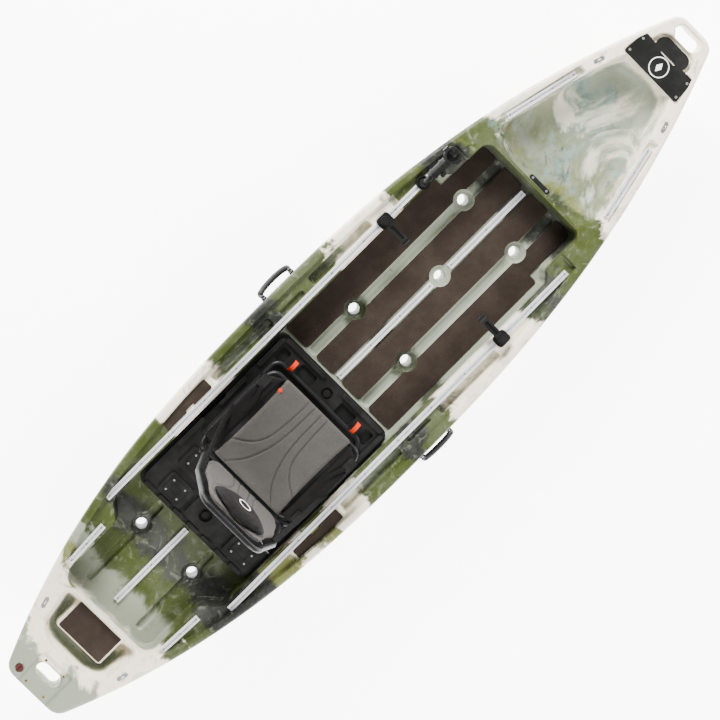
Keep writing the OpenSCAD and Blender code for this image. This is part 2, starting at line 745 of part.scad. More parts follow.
module rest_arm() {
  translate([rest_x, side_track_y, rest_z + rest_base_h + gap]) difference() {
    union() {
      cylinder(h = rest_arm_h, d = 40);
      round_block(-15, 15, -rest_reach, 0, 5, 0, rest_arm_h);
    }
    translate([0, 0, -1]) cylinder(h = 60, d = rest_pin_d + 0.1);
    round_block(-7, 7, -rest_reach + 28, -30, 6, rest_arm_h - 7, rest_arm_h + 9);
    // the trough that the rod lies in
    translate([-40, -rest_reach + 11, rest_arm_h + 2]) rotate([0, 90, 0]) cylinder(h = 80, d = 14);
  }
}
module rest_base_port() { color(black) rest_base(); }
module rest_base_starboard() { color(black) mirror([0, 1, 0]) rest_base(); }
module rest_arm_port() { color(black) rest_arm(); }
module rest_arm_starboard() { color(black) mirror([0, 1, 0]) rest_arm(); }

// ---- Track-mounted holder ---------------------------------------------

holder_x = 666;
holder_base_h = 22;
holder_z = rest_z + holder_base_h;
barrel_z = holder_z + 28;
barrel_d = 40;
barrel_x0 = 34;
barrel_x1 = 122;
cradle_x = 154;
knob_x = 78;
module at_holder() {
  translate([holder_x, side_track_y, 0]) children();
}
module holder_base() {
  color(black) at_holder() {
    tee_foot(34);
    difference() {
      translate([0, 0, rest_z]) cylinder(h = holder_base_h, d = 56);
      translate([0, 0, rest_z + 16]) difference() {
        cylinder(h = 20, d = 47);
        translate([0, 0, -1]) cylinder(h = 22, d = 30);
      }
    }
    translate([0, 0, holder_z - 1]) cylinder(h = 15, d = 14);
  }
}
module holder_body() {
  color(black) at_holder() difference() {
    union() {
      translate([0, 0, holder_z + gap]) cylinder(h = 30, d = 34);
      translate([0, 0, barrel_z]) rotate([0, 90, 0]) cylinder(h = barrel_x0 + 2, d = 22);
      translate([barrel_x0, 0, barrel_z]) rotate([0, 90, 0])
        cylinder(h = barrel_x1 - barrel_x0, d = barrel_d);
      translate([barrel_x1, 0, barrel_z]) rotate([0, 90, 0]) cylinder(h = 14, d = 24);
      for (x = [barrel_x0 + 18, barrel_x1 - 18]) translate([x - 4, 0, barrel_z])
        rotate([0, 90, 0]) cylinder(h = 8, d = barrel_d + 6);
      // open cradle with two ears
      translate([cradle_x, 0, barrel_z - 12]) cylinder(h = 34, r = 34);
      for (s = [-1, 1]) translate([cradle_x - 12, s * 32 - 8, barrel_z - 12]) cube([24, 16, 34]);
    }
    translate([0, 0, holder_z - 5]) cylinder(h = 5 + 17, d = 14.1);
    translate([cradle_x, 0, barrel_z - 4]) cylinder(h = 60, r = 25);
    translate([cradle_x, -14, barrel_z - 30]) cube([80, 28, 80]);
    translate([knob_x, -barrel_d, barrel_z]) rotate([-90, 0, 0]) cylinder(h = barrel_d, d = 8.1);
  }
}
module holder_knob() {
  color(black) at_holder() translate([knob_x, 0, barrel_z]) rotate([90, 0, 0]) {
    translate([0, 0, 6]) cylinder(h = 24, d = 8);
    difference() {
      translate([0, 0, barrel_d / 2 + gap + 2]) cylinder(h = 14, d = 26);
      for (a = [0:60:300]) rotate(a) translate([15.5, 0, barrel_d / 2]) cylinder(h = 20, d = 9);
    }
  }
}

// ---- Seat box ---------------------------------------------------------

box_top = floor_z + box_h;
panel_top = box_top + 12;
box_base_z = floor_z + mat_t;
seat_well = [-690, -262, 196];
bolt_rear_x = -872;
bolt_front_x = -190;
BOX_PANELS = [
  [-930, -835, 92, 215], [-930, -835, -272, -140], [-806, -704, 100, 226], [-806, -704, -250, -84],
  [-930, -806, -70, 70]
];
// Screwed plates as [x0, x1, y0, y1]
PLATES = [[-918, -846, 116, 200], [-914, -846, -258, -162], [-784, -716, 118, 208]];
plate_t = 4;

module seat_box() {
  color(black) difference() {
    union() {
      round_block(box_rear, box_front, -box_half, box_half, 36, floor_z, box_top - 22);
      round_block(box_rear + 12, box_front - 10, 12 - box_half, box_half - 12, 30, floor_z, box_top);
      // raised panels behind the seat
      for (p = BOX_PANELS) round_block(p[0], p[1], p[2], p[3], 12, box_top - 1, panel_top);
      // rounded ribs along the rear edge
      for (i = [-3:3]) round_block(box_rear + 4, box_rear + 20, i * 78 - 30, i * 78 + 30, 7,
        box_top - 30, box_top + 6);
      // side rails and the front border
      for (s = [-1, 1]) for (x = [-660, -430, -214])
        round_block(x - 88, x + 60, s * 276 - 10, s * 276 + 10, 9, box_top - 1, box_top + 12);
      for (s = [-1, 1]) {
        round_block(box_front - 26, box_front - 8, s * 158 - 108, s * 158 + 108, 8,
          box_top - 30, box_top + 10);
        }
    }
    // well under the seat
    round_block(seat_well[0], seat_well[1], -seat_well[2], seat_well[2], 30, box_top - 34, box_top + 40);
    // round hold-down recesses
    translate([bolt_rear_x, 0, panel_top - 18]) cylinder(h = 60, d = 55);
    translate([bolt_front_x, 0, box_top - 14]) cylinder(h = 60, d = 48);
    for (x = [bolt_rear_x, bolt_front_x]) translate([x, 0, floor_z - 1]) cylinder(h = 200, d = 10.1);
    // pockets at the front corners and along the front
    for (s = [-1, 1]) {
      round_block(-222, -172, s * 110 - 42, s * 110 + 42, 10, box_top - 16, box_top + 40);
      round_block(-236, -176, s * 232 - 22, s * 232 + 22, 10, box_top - 20, box_top + 40);
      round_block(-604, -474, s * 292 - 12, s * 292 + 12, 8, floor_z + 24, box_top + 40);
    }
    for (p = PLATES) for (q = plate_screw_places(p))
      translate([q[0], q[1], panel_top - 20]) cylinder(h = 40, d = 4.2);
    box_cavity();
  }
}
// The hollow under the moulding, open at the bottom
module box_cavity() {
  difference() {
    union() {
      round_block(box_rear + box_wall, box_front - box_wall, box_wall - box_half, box_half - box_wall,
        32, floor_z - 1, box_top - 22 - box_wall);
      round_block(box_rear + 12 + box_wall, box_front - 10 - box_wall, 12 + box_wall - box_half,
        box_half - 12 - box_wall, 26, floor_z - 1, box_top - box_wall);
    }
    round_block(seat_well[0] - box_wall, seat_well[1] + box_wall, -seat_well[2] - box_wall,
      seat_well[2] + box_wall, 34, box_top - 34 - box_wall, box_top + 40);
    for (x = [bolt_rear_x, bolt_front_x]) translate([x, 0, floor_z - 2]) cylinder(h = 200, d = 62);
    for (s = [-1, 1]) {
      round_block(-222 - box_wall, -172 + box_wall, s * 110 - 42 - box_wall, s * 110 + 42 + box_wall, 14,
        box_top - 16 - box_wall, box_top + 40);
      round_block(-236 - box_wall, -176 + box_wall, s * 232 - 22 - box_wall, s * 232 + 22 + box_wall, 14,
        box_top - 20 - box_wall, box_top + 40);
      round_block(-604 - box_wall, -474 + box_wall, s * 292 - 12 - box_wall, s * 292 + 12 + box_wall, 12,
        floor_z - 2, box_top + 40);
    }
  }
}
function plate_screw_places(p) = [for (x = [p[0] + 12, p[1] - 12]) for (y = [p[2] + 12, p[3] - 12]) [x, y]];
module seat_box_plates() {
  color(black) for (p = PLATES) difference() {
    round_block(p[0], p[1], p[2], p[3], 8, panel_top, panel_top + plate_t);
    for (q = plate_screw_places(p)) translate([q[0], q[1], panel_top - 1]) cylinder(h = 8, d = 4.6);
    round_block(p[0] + 22, p[1] - 22, p[2] + 22, p[3] - 22, 6, panel_top + 2, panel_top + 9);
  }
}
module seat_box_screws() {
  color(steel) for (p = PLATES) for (q = plate_screw_places(p))
    translate([q[0], q[1], panel_top + plate_t]) pan_screw(4.2, 8.5, plate_t + 12);
}
// Turned by hand to hold the box down on the deck
module hold_down_bolt(x, seat_z) {
  color(steel) translate([x, 0, seat_z + gap]) {
    difference() {
      cylinder(h = 9, d = 30);
      for (a = [0:45:315]) rotate(a) translate([17, 0, -1]) cylinder(h = 12, d = 7);
    }
    translate([0, 0, -(seat_z + gap - floor_z) + gap]) cylinder(h = seat_z - floor_z + 1, d = 10);
  }
}
module hold_down_bolt_rear() { hold_down_bolt(bolt_rear_x, panel_top - 18); }
module hold_down_bolt_front() { hold_down_bolt(bolt_front_x, box_top - 14); }

// ---- Seat -------------------------------------------------------------

rail_z = box_top + seat_h;
runner_z = box_top + tube_d / 2 + gap;
rail_rear = -674;
rail_front = -266;
runner_rear = -660;
runner_front = -232;
leg_x = [-620, -312];
bend_r = 34;
sling_t = 12;
sling_z = rail_z + tube_d / 2 + gap;
hinge_x = -686;
hinge_z = rail_z + 42;
hinge_pin_d = 8;
ear_t = 5;
ear_y = rail_half - tube_d / 2 - 8;

// A level rectangle of tube with bent corners
module tube_loop(x0, x1, half, z) {
  both_sides() {
    translate([x0 + bend_r, half, z]) rotate([0, 90, 0]) cylinder(h = x1 - x0 - 2 * bend_r, d = tube_d);
    for (c = [[x1 - bend_r, 0], [x0 + bend_r, 90]]) translate([c[0], half - bend_r, z]) rotate(c[1])
      rotate_extrude(angle = 90) translate([bend_r, 0]) circle(d = tube_d);
  }
  for (x = [x0, x1]) translate([x, bend_r - half, z]) rotate([-90, 0, 0])
    cylinder(h = 2 * (half - bend_r), d = tube_d);
}
module seat_frame() {
  color(black) {
    tube_loop(rail_rear, rail_front, rail_half, rail_z);
    tube_loop(runner_rear, runner_front, rail_half, runner_z);
    both_sides() {
      for (x = leg_x) translate([x, rail_half, runner_z]) cylinder(h = rail_z - runner_z, d = tube_d - 2);
      // hinge ear, standing on the rail's rear end
      difference() {
        union() {
          translate([hinge_x, ear_y + ear_t, hinge_z]) rotate([90, 0, 0]) cylinder(h = ear_t, r = 13);
          translate([hinge_x - 13, ear_y, rail_z - 4]) cube([26, ear_t, hinge_z - rail_z + 4]);
          translate([hinge_x - 13, ear_y, rail_z - 4]) cube([56, ear_t, 12]);
        }
        translate([hinge_x, ear_y + 20, hinge_z]) rotate([90, 0, 0]) cylinder(h = 40, d = hinge_pin_d + 0.1);
      }
      translate([hinge_x + 12, ear_y, rail_z - 5]) cube([30, 20, 10]);
    }
  }
}
sling_front = -250;
sling_rear = -664;
module seat_sling() {
  color(mesh_grey) round_block(sling_rear, sling_front, -sling_half, sling_half, 26,
    sling_z, sling_z + sling_t);
}
bolster_t = 14;
module seat_bolster() {
  round_block(-650, -262, sling_half + 1, 262, 22, sling_z, sling_z + bolster_t);
}
module seat_bolster_port() { color(black) seat_bolster(); }
module seat_bolster_starboard() { color(black) mirror([0, 1, 0]) seat_bolster(); }

strap_top = sling_z + bolster_t;
module recline_straps() {
  color(black) both_sides() {
    round_block(-640, -300, 226, 248, 4, strap_top, strap_top + 3);
  }
}
module strap_buckles() {
  color(black) both_sides() {
    round_block(-352, -296, 218, 256, 8, strap_top + 3, strap_top + 10);
    round_block(-636, -588, 218, 256, 8, strap_top + 3, strap_top + 10);
  }
}
pull_y = 175;
pull_r = 26;
// Webbing loops that stand up in front of the seat's front tube
module pull_straps() {
  color(orange) both_sides() translate([runner_front + pull_r - 2, pull_y + 9, runner_z]) rotate([90, 0, 0])
    linear_extrude(18) difference() {
      circle(pull_r);
      circle(pull_r - 2.5);
      translate([-40, -80]) square(80);
    }
}
module pull_toggle() {
  color(orange) translate([-306, 164, sling_z + sling_t]) {
    cylinder(h = 5, d = 22);
    translate([0, 0, 4]) cylinder(h = 5, d = 12);
  }
}
loop_r = 32;
module bungee_loop() {
  color(black) translate([-798, -258, box_top - 6]) rotate([90, 0, 78])
    rotate_extrude(angle = 180) translate([loop_r, 0]) circle(3.5);
}

// ---- Backrest ---------------------------------------------------------

// Places on the leaning back: u up along it from the hinge, v out of its front
module on_back() {
  translate([hinge_x, 0, hinge_z]) rotate([0, -back_lean, 0]) children();
}
back_half = ear_y - 2 - tube_d / 2;
back_top_half = 156;
back_bend_r = 60;
module back_frame() {
  u1 = back_len * 0.52;
  u2 = back_len - back_bend_r;
  run = u2 - u1;
  slant = atan2(back_half - back_top_half, run);
  color(black) on_back() {
    both_sides() {
      translate([0, back_half, 0]) cylinder(h = u1, d = tube_d);
      // hinge pin through the ear
      translate([0, back_half - 9, 0]) rotate([-90, 0, 0]) cylinder(h = 36, d = hinge_pin_d);
      translate([0, back_half, u1]) sphere(d = tube_d);
      translate([0, back_half, u1]) rotate([slant, 0, 0]) cylinder(h = run / cos(slant), d = tube_d);
      translate([0, back_top_half, u2]) sphere(d = tube_d);
      translate([0, back_top_half - back_bend_r, u2]) rotate([0, -90, 0]) rotate([0, 0, 90])
        rotate_extrude(angle = -90) translate([back_bend_r, 0]) circle(d = tube_d);
    }
    translate([0, back_bend_r - back_top_half, back_len]) rotate([-90, 0, 0])
      cylinder(h = 2 * (back_top_half - back_bend_r), d = tube_d);
    translate([0, -back_half, 70]) rotate([-90, 0, 0]) cylinder(h = 2 * back_half, d = 16);
  }
}
panel_t = 14;
panel_v = tube_d / 2 + gap;
module back_panel() {
  color(mesh_grey) on_back() translate([panel_v + panel_t, 0, 0]) rotate([0, -90, 0])
    linear_extrude(panel_t) polygon(concat(
      [[26, 36 - back_half], [26, back_half - 36], [100, back_half - 16], [back_len * 0.5, back_half - 14]],
      arc(back_len - 70, back_top_half - 46, 40, 70, 10, 4),
      [for (p = arc(back_len - 70, back_top_half - 46, 40, 10, 70, 4)) [p[0], -p[1]]],
      [[back_len * 0.5, 14 - back_half], [100, 16 - back_half]]
    ));
}
// Padded pocket near the top of the back, shaped like a lens
pocket_half_w = 135;
pocket_half_h = 95;
pocket_t = 40;
pocket_r = (pocket_half_w * pocket_half_w + pocket_half_h * pocket_half_h) / (2 * pocket_half_h);
pocket_u = back_len - 15 - pocket_half_h;
pocket_v = panel_v + panel_t + gap;
module head_pocket() {
  color(black) on_back() translate([pocket_v + pocket_t, 0, 0]) rotate([0, -90, 0])
    linear_extrude(pocket_t) intersection_for(s = [-1, 1])
      translate([pocket_u + s * (pocket_r - pocket_half_h), 0]) circle(r = pocket_r, $fn = 96);
}
module back_badge() {
  color(bright) on_back() translate([pocket_v + pocket_t + gap, 0, pocket_u]) rotate([0, 90, 0])
    difference() {
      cylinder(h = 1.2, r = 30);
      translate([0, 0, -1]) cylinder(h = 4, r = 25);
    }
}

hull();
deck_mat_inner_port();
deck_mat_inner_starboard();
deck_mat_outer_port();
deck_mat_outer_starboard();
stern_mat();
gunwale_mat_port();
gunwale_mat_starboard();
side_track_port();
side_track_starboard();
centre_track_aft();
centre_track_mid();
centre_track_fore();
rear_track_port();
rear_track_starboard();
bow_track_port();
bow_track_starboard();
track_screws();
bow_plate();
bow_plate_screws();
bow_badge();
bulkhead_strap();
bulkhead_screws();
drain_plug();
stern_inserts();
pad_eyes();
pad_eye_screws();
handle_brackets();
handle_bracket_screws();
side_handle_port();
side_handle_starboard();
rest_base_port();
rest_base_starboard();
rest_arm_port();
rest_arm_starboard();
holder_base();
holder_body();
holder_knob();
seat_box();
seat_box_plates();
seat_box_screws();
hold_down_bolt_rear();
hold_down_bolt_front();
seat_frame();
seat_sling();
seat_bolster_port();
seat_bolster_starboard();
recline_straps();
strap_buckles();
pull_straps();
pull_toggle();
bungee_loop();
back_frame();
back_panel();
head_pocket();
back_badge();
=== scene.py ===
# %% [markdown]
# ## A fishing kayak seen from above
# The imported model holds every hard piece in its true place. This script dresses it: a swirled
# moulded hull, gear tracks, foam mats, and a sewn mesh seat on a tube frame.

# %% Load the fixed frame
import bpy, json, math
import numpy as np
from mathutils import Matrix, Vector
from mathutils.bvhtree import BVHTree


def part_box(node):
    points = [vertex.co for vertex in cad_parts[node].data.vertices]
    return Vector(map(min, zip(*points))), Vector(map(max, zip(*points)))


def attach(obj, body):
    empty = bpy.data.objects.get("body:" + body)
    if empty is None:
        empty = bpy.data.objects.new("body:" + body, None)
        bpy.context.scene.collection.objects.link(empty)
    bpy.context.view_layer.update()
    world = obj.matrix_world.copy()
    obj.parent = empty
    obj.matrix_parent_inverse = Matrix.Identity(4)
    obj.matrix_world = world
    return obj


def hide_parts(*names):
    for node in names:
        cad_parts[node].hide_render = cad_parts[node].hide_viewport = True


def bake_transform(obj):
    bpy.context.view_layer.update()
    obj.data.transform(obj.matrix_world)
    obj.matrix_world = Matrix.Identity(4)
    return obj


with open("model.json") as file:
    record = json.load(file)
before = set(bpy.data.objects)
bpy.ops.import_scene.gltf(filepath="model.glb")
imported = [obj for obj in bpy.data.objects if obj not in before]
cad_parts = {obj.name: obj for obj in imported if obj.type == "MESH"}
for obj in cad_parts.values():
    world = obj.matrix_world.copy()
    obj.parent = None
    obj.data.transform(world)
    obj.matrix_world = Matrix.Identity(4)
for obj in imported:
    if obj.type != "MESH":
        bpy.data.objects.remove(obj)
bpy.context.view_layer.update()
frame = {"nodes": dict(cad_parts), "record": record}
cad = frame["nodes"]

# %% [markdown]
# ### Shader maths as plain expressions
# A finish is a small program. Wrapping each socket lets us write `scratches * 0.2 + 0.4` and have
# the Math nodes made for us. Every other node comes from one method, so a finish reads like a
# recipe.

# %% One socket, and one finish
class Flow:
    """A value that runs through a finish. Arithmetic on it adds Math nodes."""
    def __init__(self, finish, socket):
        self.finish, self.socket = finish, socket
    def math(self, operation, *others):
        return self.finish.node("Math", {"operation": operation}, dict(enumerate((self,) + others)))
    def __add__(self, other): return self.math("ADD", other)
    __radd__ = __add__
    def __mul__(self, other): return self.math("MULTIPLY", other)
    __rmul__ = __mul__
    def __sub__(self, other): return self.math("SUBTRACT", other)
    def __rsub__(self, other): return self.finish.node("Math", {"operation": "SUBTRACT"}, {0: other, 1: self})
    def __truediv__(self, other): return self.math("DIVIDE", other)
    def __gt__(self, other): return self.math("GREATER_THAN", other)
    def sin(self): return self.math("SINE")
    def abs(self): return self.math("ABSOLUTE")
    def power(self, other): return self.math("POWER", other)
    def least(self, other): return self.math("MINIMUM", other)
    def ramp(self, low, high, start=0.0, end=1.0):
        """Runs smoothly from start to end as the value goes from low to high."""
        return self.finish.node("MapRange", {"interpolation_type": "SMOOTHSTEP"},
                                {0: self, 1: low, 2: high, 3: start, 4: end})


class Finish:
    """A material with one Principled shader, built up node by node."""
    def __init__(self, name, **constants):
        self.material = bpy.data.materials.new(name)
        self.material.use_nodes = True
        self.tree = self.material.node_tree
        self.shader = self.tree.nodes["Principled BSDF"]
        for socket, value in constants.items():
            self.feed(socket.replace("_", " "), value)
        self.place = self.node("NewGeometry", out="Position")
        axes = self.node("SeparateXYZ", {}, {0: self.place})
        self.x, self.y, self.z = (Flow(self, s) for s in axes.socket.node.outputs)
    def node(self, kind, settings=None, values=None, out=0):
        made = self.tree.nodes.new("ShaderNode" + kind)
        for key, value in (settings or {}).items():
            if key == "stops":
                self.set_stops(made.color_ramp, value)
            elif key == "ease":
                made.color_ramp.interpolation = value
            else:
                setattr(made, key, value)
        for key, value in (values or {}).items():
            if isinstance(value, Flow):
                self.tree.links.new(value.socket, made.inputs[key])
            else:
                made.inputs[key].default_value = value
        return Flow(self, made.outputs[out])
    def set_stops(self, ramp, stops):
        while len(ramp.elements) > 1:
            ramp.elements.remove(ramp.elements[-1])
        ramp.elements[0].position, ramp.elements[0].color = stops[0][0], (*stops[0][1], 1)
        for place, colour in stops[1:]:
            ramp.elements.new(place).color = (*colour, 1)
    def feed(self, socket, value):
        if isinstance(value, Flow):
            self.tree.links.new(value.socket, self.shader.inputs[socket])
        elif isinstance(value, tuple) and len(value) == 3:
            self.shader.inputs[socket].default_value = (*value, 1)
        else:
            self.shader.inputs[socket].default_value = value
    def noise(self, scale, detail=3.0, rough=0.5, place=None, distortion=0.0):
        return self.node("TexNoise", {}, {"Vector": place or self.place, "Scale": scale,
                                          "Detail": detail, "Roughness": rough, "Distortion": distortion})
    def stretched(self, sx, sy, sz):
        return self.node("VectorMath", {"operation": "MULTIPLY"}, {0: self.place, 1: (sx, sy, sz)})
    def mix(self, first, second, factor):
        flows = {0: factor, 6: first, 7: second}
        flows = {k: (*v, 1) if isinstance(v, tuple) else v for k, v in flows.items()}
        return self.node("Mix", {"data_type": "RGBA"}, flows, out=2)
    def bump(self, height, depth, strength=1.0):
        self.feed("Normal", self.node("Bump", {}, {"Height": height, "Distance": depth,
                                                   "Strength": strength}))


# %% [markdown]
# ### Camera, floor and light
# The kayak lies diagonally in the frame, seen from high above and a little from its port side.
# A long lens from far away keeps both ends at the same scale.

# %% Camera
TILT = math.radians(8.2)
AIM = Vector((0, 0, 0.33))
DISTANCE, VIEW_WIDTH = 12.0, 2.844
half = math.sqrt(0.5)
tip = Matrix.Rotation(-TILT, 3, "X")
right, up, back = (tip @ Vector(v) for v in ((half, -half, 0), (half, half, 0), (0, 0, 1)))
eye = bpy.data.cameras.new("overhead_camera")
eye.sensor_width, eye.lens = 36.0, 36.0 * DISTANCE / VIEW_WIDTH
eye.clip_end = 60
eye.shift_x, eye.shift_y = -0.0028, 0.0014
camera = bpy.data.objects.new("overhead_camera", eye)
turned_to_aim = Matrix((right, up, back)).transposed().to_4x4()
camera.matrix_world = Matrix.Translation(AIM + back * DISTANCE) @ turned_to_aim
bpy.context.scene.collection.objects.link(camera)
bpy.context.scene.camera = camera

# %% Floor and studio light
def mesh_object(name, points, faces, finish=None):
    """A new mesh object from its corner points and faces."""
    mesh = bpy.data.meshes.new(name)
    mesh.from_pydata([tuple(p) for p in points], [], faces)
    mesh.update()
    made = bpy.data.objects.new(name, mesh)
    bpy.context.scene.collection.objects.link(made)
    if finish:
        mesh.materials.append(finish.material)
    return made


paper = Finish("studio_paper", Base_Color=(0.93, 0.93, 0.93), Roughness=0.9, Emission_Color=(1, 1, 1),
               Emission_Strength=6.5)
grain = paper.noise(30, 4)
paper.feed("Base Color", paper.mix((0.92, 0.92, 0.92), (0.95, 0.95, 0.95), grain))
floor = mesh_object("studio_floor", [(-30, -30, 0), (30, -30, 0), (30, 30, 0), (-30, 30, 0)],
                    [(0, 1, 2, 3)], paper)


def soft_box(name, place, aim, size, watts):
    """A large square light that faces a point."""
    light = bpy.data.lights.new(name, "AREA")
    light.shape, light.size, light.energy = "SQUARE", size, watts
    holder = bpy.data.objects.new(name, light)
    holder.location = place
    holder.rotation_euler = (Vector(aim) - Vector(place)).to_track_quat("-Z", "Y").to_euler()
    bpy.context.scene.collection.objects.link(holder)


soft_box("key_light", (3.4, 4.6, 3.6), (0, 0, 0.2), 2.6, 1650)
soft_box("fill_light", (-4.6, -3.4, 3.8), (0, 0, 0.2), 3.6, 850)
soft_box("bow_light", (5.2, -3.2, 3.4), (0.6, 0, 0.2), 2.6, 420)
world = bpy.data.worlds.new("studio_air")
world.use_nodes = True
world.node_tree.nodes["Background"].inputs[0].default_value = (1, 1, 1, 1)
world.node_tree.nodes["Background"].inputs[1].default_value = 0.55
bpy.context.scene.world = world

# %% [markdown]
# ### The hull as one moulded skin
# A rotomoulded hull has no sharp edges: every wall leans a little and every corner is rolled.
# A solid cut from blocks can't show that, so the skin is drawn as a height over the plan. Each
# pressing, such as the open deck or a pocket, is a distance to its outline run through a soft
# step. Cross-sections of that height are then joined into one closed loft.

# %% Hull lines, in millimetres
BEAM, STERN_W, BOW_W, HALF_LEN, WIDEST = 886.0, 274.0, 178.0, 1850.0, -100.0
CORNER_R, EDGE_R, FLOOR_Z, LEDGE_Z, RIM_W = 36.0, 16.0, 186.0, 312.0, 36.0
MID_SECTION = [(0, 0), (.06, 0), (.22, .07), (.40, .005), (.46, 0), (.62, 0), (.76, .05),
               (.90, .22), (.965, .50), (1, 1)]
END_SECTION = [(0, 0), (.05, .01), (.18, .10), (.32, .20), (.44, .29), (.58, .40), (.71, .52),
               (.84, .68), (.93, .84), (1, 1)]


def ease(t):
    s = np.clip(t, 0, 1)
    return s * s * (3 - 2 * s)


def half_beam(x):
    x = np.asarray(x, float)
    aft = BEAM / 2 - (BEAM - STERN_W) / 2 * (np.maximum(WIDEST - x, 0) / (WIDEST + HALF_LEN)) ** 2.61
    fore = BEAM / 2 - (BEAM - BOW_W) / 2 * (np.maximum(x - WIDEST, 0) / (HALF_LEN - WIDEST)) ** 2.37
    return np.where(x < WIDEST, aft, fore)


def corner_pull(d, r):
    d = np.minimum(np.asarray(d, float), r)
    return r - np.sqrt(np.maximum(0, r * r - (r - d) ** 2))


def sheer(x):
    x = np.asarray(x, float)
    aft = 330 + 22 * (np.maximum(WIDEST - x, 0) / (WIDEST + HALF_LEN)) ** 2
    fore = 330 + 80 * (np.maximum(x - WIDEST, 0) / (HALF_LEN - WIDEST)) ** 2.5
    return np.where(x < WIDEST, aft, fore)


def keel(x):
    bow = 225 * (np.maximum(x - 925, 0) / 925) ** 2.2 + 78 * ease((x - 1678) / 100)
    stern = 140 * (np.maximum(-1147 - x, 0) / 703) ** 2 + 84 * ease((-1674 - x) / 90)
    return np.where(x > 925, bow, np.where(x < -1147, stern, 0))


def end_share(x):
    return np.where(x > 0, ease((x / HALF_LEN - .32) / .62), .55 * ease((-x / HALF_LEN - .5) / .5))


# %% Distances to outlines, and the soft step
def block_gap(x, y, x0, x1, y0, y1, r):
    """How far a place is inside a rounded rectangle; negative outside."""
    dx = np.abs(x - (x0 + x1) / 2) - ((x1 - x0) / 2 - r)
    dy = np.abs(y - (y0 + y1) / 2) - ((y1 - y0) / 2 - r)
    return r - np.hypot(np.maximum(dx, 0), np.maximum(dy, 0)) - np.minimum(np.maximum(dx, dy), 0)


def outline_gap(x, y, points):
    """How far a place is inside a closed outline; negative outside."""
    best = np.full(x.shape, 1e9)
    inside = np.zeros(x.shape, bool)
    for (ax, ay), (bx, by) in zip(points, points[1:] + points[:1]):
        ex, ey = bx - ax, by - ay
        t = np.clip(((x - ax) * ex + (y - ay) * ey) / (ex * ex + ey * ey + 1e-9), 0, 1)
        best = np.minimum(best, np.hypot(x - ax - t * ex, y - ay - t * ey))
        crosses = (ay > y) != (by > y)
        inside ^= crosses & (x < (bx - ax) * (y - ay) / (by - ay + 1e-12) + ax)
    return np.where(inside, best, -best)


def press(gap, start, end, share=0.35):
    """0 outside to 1 inside, a leaning wall with a rolled edge above and below."""
    t = np.clip((gap - start) / (end - start), 0, 1)
    f = share
    low = t * t / (2 * f * (1 - f))
    mid = (t - f / 2) / (1 - f)
    high = 1 - (1 - t) ** 2 / (2 * f * (1 - f))
    return np.where(t < f, low, np.where(t > 1 - f, high, mid))


def arc(cx, cy, r, a0, a1, steps=8):
    return [(cx + r * math.cos(math.radians(a0 + (a1 - a0) * i / steps)),
             cy + r * math.sin(math.radians(a0 + (a1 - a0) * i / steps))) for i in range(steps + 1)]


def both_sides(points):
    return points + [(px, -py) for px, py in reversed(points)]


# %% Outlines of the pressings
FRONT_HALF = float(half_beam(960)) - 96
tub = both_sides(arc(-1382, 183, 50, 180, 90) + arc(-1154, 275, 42, -90, -40)
                 + arc(-1070 + 12.6, 262, 42, 140, 90) + arc(724, 280, 24, 90, 20)
                 + arc(786, FRONT_HALF + 30, 30, 200, 270) + arc(920, FRONT_HALF - 40, 40, 90, 0))
stern_well = both_sides(arc(-1542, 66, 120, 180, 118) + arc(-1477, 157, 36, 90, 0))
bow_ring = (arc(1046, float(half_beam(1006)) - 116, 40, 180, 90)
            + [(1056 + 544 * i / 12, float(half_beam(1056 + 544 * i / 12)) - 66) for i in range(1, 12)]
            + arc(1570, float(half_beam(1600)) - 96, 30, 60, 0))
PLATE_Z = float(sheer(1640)) - 4
plate_outline = both_sides([(1588, 149), (1662, 141), (1700, 128)] + [(1702, 84)]
                           + arc(1714, 43, 40, 60, 0))
EYES = [(-1554, 214), (-1554, -214), (1495, 187), (1495, -187)]
SCUPPERS = [(126, 148), (126, -148), (741, 148), (741, -148), (460, 0), (-1082, 142), (-1082, -142)]


def turned(x, y, cx, cy, degrees):
    c, s = math.cos(math.radians(degrees)), math.sin(math.radians(degrees))
    return (x - cx) * c + (y - cy) * s, -(x - cx) * s + (y - cy) * c


